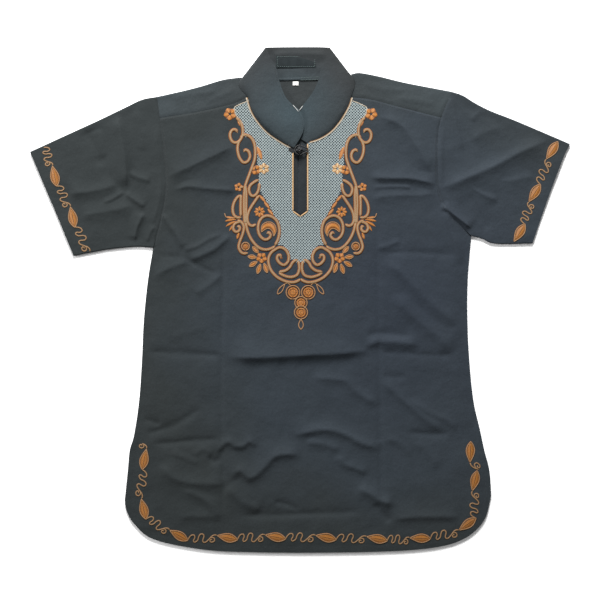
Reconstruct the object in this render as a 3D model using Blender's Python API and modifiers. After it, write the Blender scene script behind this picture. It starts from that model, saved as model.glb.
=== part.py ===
"""Short-sleeved men's shirt with a stand collar and a slit neck, laid flat with its front up.

The shirt lies on the plane z = 0. +Z points up out of its front, +Y towards the collar and +X towards the
sleeve of the wearer's left arm. The origin is on that plane, below the middle of the shirt's outline.
Left and right in the names are the wearer's. Tables hold real sizes in millimetres, and M turns them to metres.
"""

import math

import bmesh
import bpy
import numpy as np
from mathutils import Vector

M = 0.001

# Cloth and seams
CLOTH = 1.2
COLLAR_CLOTH = 1.6
TRIM_CLOTH = 1.0
SEAM_GAP = 0.3
SEAM_SHIFT = 0.45
SLEEVE_SHIFT = 0.75
FOLD_RADIUS = 1.35
COLLAR_FOLD_RADIUS = 1.6
EDGE_ROLL = 26.0
PUFF = 2 * FOLD_RADIUS - CLOTH - SEAM_GAP

# Heights of the middle of each wall above the surface
UNDER_LAYER = CLOTH / 2
SEAM_LAYER = CLOTH + SEAM_GAP + CLOTH / 2
TOP_LAYER = UNDER_LAYER + 2 * FOLD_RADIUS
COLLAR_UNDER = COLLAR_CLOTH / 2
COLLAR_OVER = COLLAR_UNDER + 2 * COLLAR_FOLD_RADIUS
LEFT_FLAP_RISE = -1.5
RIGHT_FLAP_RISE = 0.7

# Slit neck
SLIT_X = 0.5
SLIT_HALF_WIDTH = 10.1
SLIT_CORNER_Y = 142.6
SLIT_POINT_Y = 135.7
SLIT_TOP_RIGHT = (SLIT_X - SLIT_HALF_WIDTH, 242.4)
SLIT_TOP_LEFT = (SLIT_X + SLIT_HALF_WIDTH, 251.4)
PLACKET_SPLIT_X = -2.7
PLACKET_TOP_Y = 240.0

# Outline of the body, each table in order along its edge, columns (x, y)
HEM_MIDDLE = (SLIT_X, -404)
RIGHT_HEM = [(-280, -320), (-277, -337), (-264, -359), (-232, -383), (-152, -399), (-76, -403), HEM_MIDDLE]
LEFT_HEM = [HEM_MIDDLE, (96, -403), (173, -400), (224, -394), (257, -384), (281, -368), (297, -346), (305.5, -312)]
RIGHT_SIDE = [(-280, -320), (-275, -272), (-272, -240), (-265, -215), (-257, -160), (-252.5, -96), (-249.5, -32),
              (-243, 32), (-234.6, 83.2)]
LEFT_SIDE = [(305.5, -312), (302.5, -272), (294.5, -240), (287, -205), (277, -160), (270.5, -96), (267.5, -32),
             (268, 32), (273.6, 102.4)]

# Armhole stations from the underarm up: underarm, slit point level, hollow, back yoke seam, front yoke seam, shoulder
RIGHT_ARMHOLE = [(-234.6, 83.2), (-220.8, 136), (-214.4, 184), (-219.5, 250), (-224, 290.4), (-228.8, 324.8)]
LEFT_ARMHOLE = [(273.6, 102.4), (238.4, 139.2), (222, 180), (219.5, 250), (225.6, 291.2), (243.2, 332.8)]
ARMHOLE_STEPS = (5, 5, 7, 4, 3)
SLIT_STATION, BACK_YOKE_STATION, FRONT_YOKE_STATION, SHOULDER_STATION = 5, 17, 21, 24
YOKE_STRIP_ROWS = SHOULDER_STATION - FRONT_YOKE_STATION

# Yoke seams on the front, shoulder folds and necklines
RIGHT_YOKE_SEAM = [(-224, 290.4), (-160, 301), (-107, 313.5), (-84.2, 324)]
LEFT_YOKE_SEAM = [(81.9, 324), (115, 320), (160, 308), (225.6, 291.2)]
RIGHT_SHOULDER = [(-228.8, 324.8), (-192, 333), (-160, 341), (-123, 352), (-93.4, 356)]
LEFT_SHOULDER = [(81.6, 360.8), (96, 363), (128, 357), (160, 349), (192, 342.5), (243.2, 332.8)]
RIGHT_NECKLINE = [(-84.2, 324), (-77, 301), (-65.6, 283), (-48.8, 265.6), (-27.2, 251), SLIT_TOP_RIGHT]
LEFT_NECKLINE = [(81.9, 324), (77, 309), (64, 286.5), (48.8, 269), (30.4, 257.6), SLIT_TOP_LEFT]
RIGHT_NECK_SIDE = [(-93.4, 356), (-97.6, 341), (-84.2, 324)]
LEFT_NECK_SIDE = [(81.6, 360.8), (88, 345.6), (81.9, 324)]
BACK_NECKLINE = [(-93.4, 356), (-48, 354), (0, 354.4), (48, 356.3), (81.6, 360.8)]
BACK_NECK_DROP = 2.0
NECK_MIDDLE = (-4, 330)

# Stand collar: where it folds over at each side, its top edge, and the free edges and ends of its two flaps
RIGHT_FOLD = [(-92.0, 355.9), (-54.9, 404)]
LEFT_FOLD = [(80.2, 360.7), (47.2, 404)]
RIGHT_FREE_EDGE = [(-54.9, 404), (-48.3, 389), (-38.6, 372), (-33, 350), (-24.5, 326.5), (-14, 313.5), (-0.6, 302.4),
                   (6.4, 283.2), (4.8, 267.7)]
RIGHT_FLAP_END = [(4.8, 267.7), (-1.6, 255.2), (-9.3, 247)]
LEFT_FREE_EDGE = [(47.2, 404), (40.6, 381), (32.5, 365.5), (29.8, 352), (21.1, 333), (4.8, 311), (-5, 296), (-7, 280),
                  (-6.4, 270)]
LEFT_FLAP_END = [(-6.4, 270), (0, 258.6), (9.6, 253.2)]

# Sleeves: the folded top edge and the underarm edge run from the armhole to the cuff, columns (x, y)
RIGHT_SLEEVE_TOP = [(-228.8, 324.8), (-252.8, 320.2), (-280, 307.4), (-318, 289), (-355, 272), (-390, 256),
                    (-431.4, 237)]
RIGHT_SLEEVE_UNDER = [(-234.6, 83.2), (-259, 85), (-285, 83.2), (-310.5, 80), (-336, 75.2), (-361.5, 70.4)]
RIGHT_CUFF = [(-431.4, 237), (-412, 191), (-384, 125), (-361.5, 70.4)]
LEFT_SLEEVE_TOP = [(243.2, 332.8), (261, 326.5), (278.5, 315.5), (304, 302.5), (341, 288), (379, 272), (431.4, 249.5)]
LEFT_SLEEVE_UNDER = [(273.6, 102.4), (291, 97.6), (304, 91.4), (317, 89.6), (342.5, 89.6), (371.2, 90.4)]
LEFT_CUFF = [(431.4, 249.5), (419.8, 225.6), (395.2, 160), (371.2, 90.4)]

# Grid steps
COLUMNS = 17
SIDE_STEPS = 28
NECKLINE_STEPS = 9
SLIT_STEPS = 6
SLEEVE_RINGS = 13
RIGHT_SHOULDER_STEPS, LEFT_SHOULDER_STEPS = 11, 12
FOLD_STEPS = 4
BACK_NECK_STEPS = 12
COLLAR_ROWS = 6
COLLAR_BACK_STEPS = 10

# Largest folds of the top layer, columns: points along the crest, height, width of the side that faces the collar
# (to the left of the crest as it runs), width of the other side
FOLDS = {
    "press_fold_middle": ([(-116, -84), (-40, -80), (50, -80), (124, -82)], 3.0, 24, 11),
    "press_fold_right_part": ([(-232, -86), (-180, -87), (-116, -84)], 1.4, 14, 9),
    "press_fold_left_part": ([(124, -84), (180, -83), (246, -84)], 1.4, 14, 9),
    "waist_arch": ([(112, -66), (146, -56), (178, -58), (236, -80)], 2.8, 22, 12),
    "side_drag_left": ([(196, 36), (222, 4), (240, -28)], 2.2, 20, 14),
    "hip_drag_left": ([(132, -126), (178, -164), (244, -206)], 1.9, 16, 13),
    "hip_drag_middle": ([(66, -122), (96, -140), (122, -166)], 1.6, 16, 12),
    "hip_drag_right": ([(-230, -208), (-178, -188), (-152, -168)], 2.2, 16, 12),
    "low_wave": ([(-96, -286), (-64, -282), (-34, -248), (-14, -234), (34, -232)], 2.4, 18, 13),
    "low_line": ([(-124, -346), (-40, -342), (80, -343)], 2.2, 20, 12),
    "low_fork": ([(88, -298), (118, -320), (138, -344)], 2.6, 16, 12),
    "chest_drag_right": ([(-222, 186), (-172, 210), (-122, 242)], 2.6, 30, 20),
    "chest_line_right": ([(-164, 178), (-106, 180)], 1.8, 18, 12),
    "chest_line_left": ([(116, 190), (160, 194), (218, 184)], 2.6, 18, 12),
    "under_chest_right": ([(-222, 136), (-186, 84), (-150, 92), (-110, 106)], 2.2, 16, 14),
    "sleeve_fold_right": ([(-290, 298), (-280, 240), (-276, 180), (-312, 158)], 2.6, 14, 18),
    "sleeve_line_right": ([(-276, 178), (-246, 150), (-232, 122)], 2.0, 14, 12),
    "sleeve_drag_left": ([(232, 186), (300, 218), (378, 250)], 3.0, 26, 20),
    "underarm_fold_left": ([(236, 146), (256, 124), (282, 112)], 2.2, 14, 12),
}
BUTTON = (-0.8, 239.2)
BUTTON_RADIUS = 5.6
BUTTON_HALF_HEIGHT = 4.6
BUTTON_LOBES = 3
BUTTON_LOBE_DEPTH = 0.05
LOOP_CORD = 2.2
LOOP_RADIUS = BUTTON_RADIUS * (1 + BUTTON_LOBE_DEPTH) + SEAM_GAP + LOOP_CORD / 2 + 0.15

LABEL_CENTRE = (-6.4, 381)
LABEL_SIZE = (64, 20)
SIZE_TAB_CENTRE = (-7, 346)
SIZE_TAB_SIZE = (9, 6)
TAPE_WIDTH = 4.4
TAPE_HALF_LENGTH = 52


def spline(points, steps):
    """Smooth cubic curve through the points; steps gives the number of segments between each pair of them."""
    knots = np.array(points, float)
    padded = np.vstack([2 * knots[0] - knots[1], knots, 2 * knots[-1] - knots[-2]])
    rows = [knots[:1]]
    for i, count in enumerate(steps):
        a, b, c, d = padded[i:i + 4]
        t = (np.arange(1, count + 1) / count)[:, None]
        rows.append(0.5 * (2 * b + (c - a) * t + (2 * a - 5 * b + 4 * c - d) * t**2 + (3 * b - a - 3 * c + d) * t**3))
    return np.vstack(rows)


def evenly(points, count):
    """The curve through the points, cut into count segments of equal length."""
    fine = spline(points, [24] * (len(points) - 1))
    along = np.concatenate([[0], np.cumsum(np.linalg.norm(np.diff(fine, axis=0), axis=1))])
    wanted = np.linspace(0, along[-1], count + 1)
    return np.column_stack([np.interp(wanted, along, fine[:, k]) for k in (0, 1)])


def joined(*paths):
    """Several paths as one, where each starts at the last point of the one before."""
    return np.vstack([paths[0]] + [path[1:] for path in paths[1:]])


def patch(south, north, west, east):
    """Grid of plan points that fills the space between four edges, rows from south to north."""
    v, u = np.mgrid[0:1:len(west) * 1j, 0:1:len(south) * 1j][..., None]
    across = (1 - v) * south[None] + v * north[None]
    along = (1 - u) * west[:, None] + u * east[:, None]
    low = (1 - u) * south[0] + u * south[-1]
    high = (1 - u) * north[0] + u * north[-1]
    return across + along - (1 - v) * low - v * high


def raised(grid, height):
    """Plan points with their height added."""
    return np.concatenate([grid, np.broadcast_to(np.asarray(height, float)[..., None], grid.shape[:-1] + (1,))], -1)


def smoothstep(x):
    x = np.clip(x, 0, 1)
    return x * x * (3 - 2 * x)


def distance(grid, path):
    """Distance in plan from each point of the grid to the path, on which side it lies, and how far along."""
    start, step = path[:-1], np.diff(path, axis=0)
    offset = grid[..., None, :] - start
    t = np.clip((offset * step).sum(-1) / (step**2).sum(-1), 0, 1)
    away = offset - t[..., None] * step
    gap = np.linalg.norm(away, axis=-1)
    near = gap.argmin(-1)[..., None]
    side = step[:, 0] * offset[..., 1] - step[:, 1] * offset[..., 0]
    along = (near[..., 0] + np.take_along_axis(t, near, -1)[..., 0]) / len(step)
    return np.take_along_axis(gap, near, -1)[..., 0], np.take_along_axis(side, near, -1)[..., 0], along


def lift(grid):
    """Height that the folds add to the top layer: each is a soft crest, steeper on one side, low at its ends."""
    total = np.zeros(grid.shape[:-1])
    for points, height, upper_width, lower_width in FOLDS.values():
        gap, side, along = distance(grid, evenly(points, 6 * len(points)))
        width = np.where(side > 0, upper_width, lower_width)
        ends = smoothstep(np.minimum(along, 1 - along) * 5 + 0.25)
        total = np.maximum(total, height * np.exp(-(gap / width) ** 2) * ends)
    return total


def material(name, colour, roughness):
    made = bpy.data.materials.new(name)
    made.use_nodes = True
    shader = made.node_tree.nodes["Principled BSDF"]
    shader.inputs["Base Color"].default_value = (*colour, 1)
    shader.inputs["Roughness"].default_value = roughness
    shader.inputs["Metallic"].default_value = 0
    return made


def add_object(name, data, finish):
    made = bpy.data.objects.new(name, data)
    data.materials.append(finish)
    shirt.objects.link(made)
    return made


def sheet(name, grids, thickness, finish):
    """Cloth wall: grid primitives laid on the given points, welded where they meet and given their thickness."""
    shape = bmesh.new()
    for points in grids:
        rows, columns = points.shape[0] - 1, points.shape[1] - 1
        made = bmesh.ops.create_grid(shape, x_segments=columns, y_segments=rows, size=1)
        for vertex in made["verts"]:
            column = round((vertex.co.x + 1) / 2 * columns)
            row = round((vertex.co.y + 1) / 2 * rows)
            vertex.co = Vector(points[row, column]) * M
    bmesh.ops.remove_doubles(shape, verts=shape.verts, dist=0.02 * M)
    mesh = bpy.data.meshes.new(name)
    shape.to_mesh(mesh)
    shape.free()
    mesh.shade_smooth()
    made = add_object(name, mesh, finish)
    wall = made.modifiers.new("cloth", "SOLIDIFY")
    wall.thickness = thickness * M
    wall.offset = 0
    wall.use_even_offset = True


def flat_piece(name, outline, thickness, bottom, finish):
    """Flat cloth cut to a closed outline, lying at a height."""
    curve = bpy.data.curves.new(name, "CURVE")
    curve.dimensions = "2D"
    curve.fill_mode = "BOTH"
    curve.extrude = thickness / 2 * M
    edge = curve.splines.new("POLY")
    edge.points.add(len(outline) - 1)
    for point, (x, y) in zip(edge.points, outline):
        point.co = (x * M, y * M, 0, 1)
    edge.use_cyclic_u = True
    made = add_object(name, curve, finish)
    made.location.z = (bottom + thickness / 2) * M
    return made


def rectangle(centre, size):
    (x, y), (width, height) = centre, size
    return [(x + i * width / 2, y + j * height / 2) for i, j in ((-1, -1), (1, -1), (1, 1), (-1, 1))]


def towards(path, target, shift):
    """The path with each point moved by shift towards the target."""
    way = np.asarray(target) - path
    return path + way * shift / np.linalg.norm(way, axis=1, keepdims=True)


def unit(way):
    return way / np.linalg.norm(way)


def outward(path, inside):
    """Unit vector at right angles to the path at each point, on the side away from the inside point."""
    run = np.gradient(path, axis=0)
    across = np.column_stack([-run[:, 1], run[:, 0]])
    across /= np.linalg.norm(across, axis=1, keepdims=True)
    return across * np.sign(((path - np.asarray(inside)) * across).sum(1))[:, None]


def fold_over(edge, away, low, radius, cloth):
    """Rows of a half-round fold from the under layer to the layer over it; its outside touches the edge line."""
    inset = edge - away * (radius + cloth / 2)
    angles = np.linspace(0, math.pi, FOLD_STEPS + 1)
    return [raised(inset + away * radius * math.sin(a), low + radius * (1 - math.cos(a))) for a in angles]


def slit_edge(side):
    """Inner edge of one half of the front, from the slit's point up its side: side is -1 right, 1 left."""
    top = SLIT_TOP_RIGHT if side < 0 else SLIT_TOP_LEFT
    corner = (SLIT_X + side * SLIT_HALF_WIDTH, SLIT_CORNER_Y)
    return joined(
        evenly([(SLIT_X, SLIT_POINT_Y), corner], 1),
        evenly([corner, top], SLIT_STEPS),
    )


def front():
    """Front panel: two lower patches that share the centre line, and an upper one on each side of the slit."""
    lower_rows = SIDE_STEPS + SLIT_STATION
    centre = evenly([HEM_MIDDLE, (SLIT_X, SLIT_POINT_Y)], lower_rows)
    point = np.array([(SLIT_X, SLIT_POINT_Y)])
    grids = []
    for side, hem, seam, armhole, yoke, neckline in (
        (-1, RIGHT_HEM, RIGHT_SIDE, right_armhole, RIGHT_YOKE_SEAM, RIGHT_NECKLINE),
        (1, LEFT_HEM, LEFT_SIDE, left_armhole, LEFT_YOKE_SEAM, LEFT_NECKLINE),
    ):
        outer = joined(evenly(seam, SIDE_STEPS), armhole[:SLIT_STATION + 1])
        upper_outer = armhole[SLIT_STATION:FRONT_YOKE_STATION + 1]
        inner = joined(slit_edge(side), evenly(neckline, NECKLINE_STEPS)[::-1])
        level = np.linspace(upper_outer[0], point[0], COLUMNS + 1)
        hem_edge, yoke_edge = evenly(hem, COLUMNS), evenly(yoke, COLUMNS)
        if side < 0:
            grids.append(patch(hem_edge, level, outer, centre))
            grids.append(patch(level, yoke_edge, upper_outer, inner))
        else:
            grids.append(patch(hem_edge, level[::-1], centre, outer))
            grids.append(patch(level[::-1], yoke_edge, inner, upper_outer))
    rim = joined(evenly(RIGHT_SIDE[::-1], 40), evenly(RIGHT_HEM, 30), evenly(LEFT_HEM, 30), evenly(LEFT_SIDE, 40))
    shaped = []
    for grid in grids:
        gap, _, _ = distance(grid, rim)
        inside = smoothstep(gap / EDGE_ROLL)
        shaped.append(raised(grid, SEAM_LAYER + inside * (PUFF + lift(grid))))
    sheet("front", shaped, CLOTH, black_cloth)


def back():
    """Back panel: flat on the surface, cut to the same outline up to the seam of the yoke."""
    outline = np.vstack([
        evenly(RIGHT_HEM, COLUMNS)[:-1],
        evenly(LEFT_HEM, COLUMNS)[:-1],
        evenly(LEFT_SIDE, SIDE_STEPS)[:-1],
        left_armhole[:BACK_YOKE_STATION + 1] - (0, SEAM_GAP / 2),
        right_armhole[BACK_YOKE_STATION::-1] - (0, SEAM_GAP / 2),
        evenly(RIGHT_SIDE, SIDE_STEPS)[-2:0:-1],
    ])
    flat_piece("back", outline, CLOTH, 0, black_cloth)


def yoke():
    """Yoke: one layer across the upper back that turns over both shoulders into a strip on the front."""
    shift = np.array((0, SEAM_GAP / 2))
    neck = evenly(BACK_NECKLINE, BACK_NECK_STEPS)
    neck[:, 1] -= np.sin(np.linspace(0, math.pi, BACK_NECK_STEPS + 1)) ** 0.5 * BACK_NECK_DROP
    folds, strips = [], []
    for shoulder, steps, seam, neck_side, armhole, outer in (
        (RIGHT_SHOULDER, RIGHT_SHOULDER_STEPS, RIGHT_YOKE_SEAM, RIGHT_NECK_SIDE, right_armhole, 0),
        (LEFT_SHOULDER, LEFT_SHOULDER_STEPS, LEFT_YOKE_SEAM, LEFT_NECK_SIDE, left_armhole, -1),
    ):
        edge = evenly(shoulder, steps)
        away = outward(edge, (0, 0))
        away[outer] = unit(armhole[SHOULDER_STATION] - armhole[SHOULDER_STATION - 1])
        arc = np.stack(fold_over(edge, away, UNDER_LAYER, FOLD_RADIUS, CLOTH))
        folds.append(arc)
        low_edge = evenly(seam, steps) + 2 * shift
        high_edge = arc[-1, :, :2]
        armhole_edge = armhole[FRONT_YOKE_STATION:SHOULDER_STATION + 1].copy()
        armhole_edge[0], armhole_edge[-1] = low_edge[outer], high_edge[outer]
        inner = -1 - outer
        neck_edge = evenly([low_edge[inner], neck_side[1], high_edge[inner]], YOKE_STRIP_ROWS)
        sides = (armhole_edge, neck_edge) if outer == 0 else (neck_edge, armhole_edge)
        strip = patch(low_edge, high_edge, *sides)
        fade = smoothstep(np.linspace(2, 0, YOKE_STRIP_ROWS + 1))[:, None]
        strips.append(raised(strip, TOP_LAYER + lift(strip) * fade)[::-1])
    top = np.vstack([folds[0][0, :, :2], neck[1:-1], folds[1][0, :, :2]])
    west = right_armhole[BACK_YOKE_STATION:SHOULDER_STATION + 1].copy()
    east = left_armhole[BACK_YOKE_STATION:SHOULDER_STATION + 1].copy()
    west[0], east[0] = west[0] + shift, east[0] + shift
    west[-1], east[-1] = top[0], top[-1]
    bottom = np.linspace(west[0], east[0], len(top))
    layer = raised(patch(bottom, top, west, east), UNDER_LAYER)
    sheet("yoke", [layer] + folds + strips, CLOTH, black_cloth)


def sleeve(name, armhole, top_edge, under_edge, cuff, side):
    """Sleeve: a flattened tube from the armhole to the cuff, folded along its top and closed at the underarm."""
    start = armhole[::-1] + (side * SLEEVE_SHIFT, 0)
    top, under = evenly(top_edge, SLEEVE_RINGS), evenly(under_edge, SLEEVE_RINGS)
    top[0], under[0] = start[0], start[-1]
    rings = patch(top, under, start, evenly(cuff, len(start) - 1)).transpose(1, 0, 2)
    inset = FOLD_RADIUS + CLOTH / 2
    turns = np.linspace(0, math.pi, FOLD_STEPS + 1)[1:-1]
    rows = []
    for ring in rings:
        along = np.concatenate([[0], np.cumsum(np.linalg.norm(np.diff(ring, axis=0), axis=1))])
        wanted = np.clip(along, inset, along[-1] - inset)
        flat = np.column_stack([np.interp(wanted, along, ring[:, k]) for k in (0, 1)])
        fade = smoothstep(6 * np.minimum(np.linspace(0, 1, len(ring)), np.linspace(1, 0, len(ring))))
        over = raised(flat, TOP_LAYER + lift(flat) * fade)
        under_side = raised(flat, UNDER_LAYER)[::-1]
        low_turn = [(*(flat[-1] + unit(ring[-1] - ring[-2]) * FOLD_RADIUS * math.sin(a)),
                     UNDER_LAYER + FOLD_RADIUS * (1 + math.cos(a))) for a in turns]
        high_turn = [(*(flat[0] + unit(ring[0] - ring[1]) * FOLD_RADIUS * math.sin(a)),
                      UNDER_LAYER + FOLD_RADIUS * (1 - math.cos(a))) for a in turns]
        rows.append(np.vstack([over, low_turn, under_side, high_turn, over[:1]]))
    sheet(name, [np.stack(rows)[:, ::side]], CLOTH, black_cloth)


def collar():
    """Stand collar: one band that runs from flap to flap round the back, folded flat at both sides of the neck."""
    grids = []
    arcs = {}
    for side, line in ((-1, evenly(RIGHT_FOLD, COLLAR_ROWS)), (1, evenly(LEFT_FOLD, COLLAR_ROWS))):
        turn = fold_over(line, outward(line, NECK_MIDDLE), COLLAR_UNDER, COLLAR_FOLD_RADIUS, COLLAR_CLOTH)
        arcs[side] = np.stack(turn, 1)
    west, east = arcs[-1][:, 0, :2], arcs[1][:, 0, :2]
    south = evenly([west[0], *BACK_NECKLINE[1:-1], east[0]], COLLAR_BACK_STEPS)
    south[1:-1, 1] += SEAM_GAP + 0.2
    north = evenly([west[-1], east[-1]], COLLAR_BACK_STEPS)
    grids.append(raised(patch(south, north, west, east), COLLAR_UNDER))
    grids.append(arcs[-1][:, ::-1])
    grids.append(arcs[1])
    for side, free_edge, end, neck_side, neckline, rise in (
        (-1, RIGHT_FREE_EDGE, RIGHT_FLAP_END, RIGHT_NECK_SIDE, RIGHT_NECKLINE, RIGHT_FLAP_RISE),
        (1, LEFT_FREE_EDGE, LEFT_FLAP_END, LEFT_NECK_SIDE, LEFT_NECKLINE, LEFT_FLAP_RISE),
    ):
        fold = arcs[side][:, -1, :2]
        seam = joined(evenly(neck_side, YOKE_STRIP_ROWS), evenly(neckline, NECKLINE_STEPS))
        base = np.vstack([fold[:1], towards(seam[1:], NECK_MIDDLE, SEAM_SHIFT)])
        free = evenly([fold[-1], *free_edge[1:]], len(base) - 1)
        flap_end = evenly([base[-1], *end[-2::-1]], COLLAR_ROWS)
        plan = patch(base, free, fold, flap_end)
        along = smoothstep((np.linspace(0, 1, len(base)) - 0.45) / 0.5)
        height = COLLAR_OVER + rise * np.broadcast_to(along, plan.shape[:2])
        grid = raised(plan, height)
        grids.append(grid if side > 0 else grid[:, ::-1])
    sheet("collar", grids, COLLAR_CLOTH, black_cloth)


def plackets():
    """Two strips of the slit's facing, side by side below the slit's edges, pointed like its lower end."""
    bottom = CLOTH + SEAM_GAP
    clear = SEAM_SHIFT
    slope = (SLIT_CORNER_Y - SLIT_POINT_Y) / SLIT_HALF_WIDTH

    def point_y(x):
        return SLIT_POINT_Y + abs(x - SLIT_X) * slope + clear * 1.5

    right_x, left_x = SLIT_X - SLIT_HALF_WIDTH + clear, SLIT_X + SLIT_HALF_WIDTH - clear
    gap = SEAM_GAP / 2
    right = [(right_x, PLACKET_TOP_Y), (right_x, point_y(right_x)), (PLACKET_SPLIT_X - gap, point_y(PLACKET_SPLIT_X)),
             (PLACKET_SPLIT_X - gap, PLACKET_TOP_Y)]
    left = [(PLACKET_SPLIT_X + gap, PLACKET_TOP_Y), (PLACKET_SPLIT_X + gap, point_y(PLACKET_SPLIT_X)),
            (SLIT_X, point_y(SLIT_X)), (left_x, point_y(left_x)), (left_x, PLACKET_TOP_Y)]
    flat_piece("placket_right", right, CLOTH, bottom, black_cloth)
    flat_piece("placket_left", left, CLOTH, bottom, black_cloth)


def neck_trims():
    """Tape over the back neck seam, the bare woven label on the collar and the small size tab below the tape."""
    above_collar = COLLAR_CLOTH + SEAM_GAP
    line = evenly(BACK_NECKLINE, 40)
    line = line[np.abs(line[:, 0]) < TAPE_HALF_LENGTH] - (0, BACK_NECK_DROP / 2)
    tape = np.vstack([line - (0, TAPE_WIDTH / 2), (line + (0, TAPE_WIDTH / 2))[::-1]])
    flat_piece("neck_tape", tape, TRIM_CLOTH, above_collar, trim_cloth)
    flat_piece("neck_label", rectangle(LABEL_CENTRE, LABEL_SIZE), TRIM_CLOTH, above_collar, trim_cloth)
    flat_piece("size_tab", rectangle(SIZE_TAB_CENTRE, SIZE_TAB_SIZE), TRIM_CLOTH, CLOTH + SEAM_GAP, white_tape)


def knot_button():
    """Ball knot of cord that closes the slit, with shallow lobes between its turns."""
    shape = bmesh.new()
    bmesh.ops.create_uvsphere(shape, u_segments=24, v_segments=12, radius=1)
    for vertex in shape.verts:
        x, y, z = vertex.co
        wave = 1 + BUTTON_LOBE_DEPTH * math.cos(BUTTON_LOBES * math.atan2(y, x) + 2 * z)
        flat = BUTTON_RADIUS * wave
        vertex.co = Vector((x * flat, y * flat, z * BUTTON_HALF_HEIGHT)) * M
    mesh = bpy.data.meshes.new("knot_button")
    shape.to_mesh(mesh)
    shape.free()
    mesh.shade_smooth()
    made = add_object("knot_button", mesh, black_cord)
    centre_z = 2 * CLOTH + 2 * SEAM_GAP + BUTTON_HALF_HEIGHT
    made.location = Vector((*BUTTON, centre_z)) * M


def button_loop():
    """Cord loop from the slit's left edge round the knot, like a teardrop."""
    over_flap = COLLAR_OVER + RIGHT_FLAP_RISE + COLLAR_CLOTH / 2 + SEAM_GAP + LOOP_CORD / 2
    on_front = TOP_LAYER + CLOTH / 2 + SEAM_GAP + LOOP_CORD / 2
    x, y = BUTTON
    turn = [(x + LOOP_RADIUS * math.cos(a), y + LOOP_RADIUS * math.sin(a), over_flap)
            for a in np.radians(np.linspace(62, 298, 19))]
    ends = [(LOOP_RADIUS * 1.15, LOOP_CORD * 1.9, over_flap), (LOOP_RADIUS * 1.9, LOOP_CORD * 0.65, on_front + 0.6)]
    route = [(x + dx, y + dy, z) for dx, dy, z in ends[::-1]] + turn + [(x + dx, y - dy, z) for dx, dy, z in ends]
    curve = bpy.data.curves.new("button_loop", "CURVE")
    curve.dimensions = "3D"
    curve.bevel_depth = LOOP_CORD / 2 * M
    curve.bevel_resolution = 2
    curve.use_fill_caps = True
    cord = curve.splines.new("POLY")
    cord.points.add(len(route) - 1)
    for point, place in zip(cord.points, route):
        point.co = (*(Vector(place) * M), 1)
    add_object("button_loop", curve, black_cord)


for old in list(bpy.data.objects):
    bpy.data.objects.remove(old)
shirt = bpy.data.collections.new("embroidered_shirt")
bpy.context.scene.collection.children.link(shirt)
black_cloth = material("black_cotton", (0.035, 0.042, 0.048), 0.75)
black_cord = material("black_cord", (0.02, 0.02, 0.022), 0.6)
trim_cloth = material("woven_black_tape", (0.02, 0.026, 0.03), 0.6)
white_tape = material("white_tape", (0.75, 0.75, 0.74), 0.7)

right_armhole = spline(RIGHT_ARMHOLE, ARMHOLE_STEPS)
left_armhole = spline(LEFT_ARMHOLE, ARMHOLE_STEPS)

front()
back()
yoke()
sleeve("sleeve_right", right_armhole, RIGHT_SLEEVE_TOP, RIGHT_SLEEVE_UNDER, RIGHT_CUFF, -1)
sleeve("sleeve_left", left_armhole, LEFT_SLEEVE_TOP, LEFT_SLEEVE_UNDER, LEFT_CUFF, 1)
collar()
plackets()
neck_trims()
knot_button()
button_loop()
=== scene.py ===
# %% [markdown]
# # An embroidered shirt, laid flat
# A short-sleeved men's shirt of black cotton lies on a pale floor with its front up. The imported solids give
# the place of every piece. Here each solid gets a thin shell of cloth with its creases, then the embroidery
# that is sewn on it, cord by cord, and then light and a camera straight above. Tables hold real sizes in
# millimetres in the frame's axes: X to the right, Y towards the collar, Z up. Left and right are the
# wearer's.

# %% Frame
import math
from functools import partial
from types import SimpleNamespace

import bmesh
import bpy
import numpy as np
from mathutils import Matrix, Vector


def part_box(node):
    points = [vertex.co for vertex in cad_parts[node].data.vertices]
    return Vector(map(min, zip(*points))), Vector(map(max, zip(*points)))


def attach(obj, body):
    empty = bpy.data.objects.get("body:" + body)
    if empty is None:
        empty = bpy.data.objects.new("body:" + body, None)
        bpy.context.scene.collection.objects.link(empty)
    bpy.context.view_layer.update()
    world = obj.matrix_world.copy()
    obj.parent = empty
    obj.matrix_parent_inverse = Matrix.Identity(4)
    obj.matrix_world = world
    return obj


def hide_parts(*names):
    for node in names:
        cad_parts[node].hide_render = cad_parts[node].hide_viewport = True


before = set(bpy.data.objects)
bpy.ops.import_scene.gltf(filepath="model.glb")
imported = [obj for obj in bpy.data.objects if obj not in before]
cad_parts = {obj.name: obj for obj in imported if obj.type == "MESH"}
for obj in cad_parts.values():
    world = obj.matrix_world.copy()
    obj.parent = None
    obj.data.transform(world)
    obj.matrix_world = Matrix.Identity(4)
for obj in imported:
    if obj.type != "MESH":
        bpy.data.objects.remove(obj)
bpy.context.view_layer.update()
scene = bpy.context.scene
MM = 0.001
print("solids:", sorted(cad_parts))

# %% [markdown]
# ## Curves in plan
# A pattern cutter draws a shirt with smooth curves through a few measured points, and so does this script.
# A cubic runs through each pair of points with the slope of the line between their neighbours, and is then
# cut into equal lengths. Four such curves are the edges of a cloth panel, and a patch fills the space
# between them.

# %% Paths
SPAN_STEPS = 24


def spans(points):
    """The cubic through the points, with SPAN_STEPS steps between each pair of them."""
    knots = np.array(points, float)
    padded = np.vstack([2 * knots[0] - knots[1], knots, 2 * knots[-1] - knots[-2]])
    t = (np.arange(SPAN_STEPS) / SPAN_STEPS)[None, :, None]
    a, b, c, d = (padded[k:len(padded) - 3 + k, None] for k in range(4))
    cubic = 0.5 * (2 * b + (c - a) * t + (2 * a - 5 * b + 4 * c - d) * t**2 + (3 * b - a - 3 * c + d) * t**3)
    return np.vstack([cubic.reshape(-1, knots.shape[1]), knots[-1:]])


def run_along(path):
    """Length from the start of a path to each of its points: the sum of the steps before it."""
    return np.concatenate([[0], np.cumsum(np.linalg.norm(np.diff(path, axis=0), axis=1))])


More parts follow.
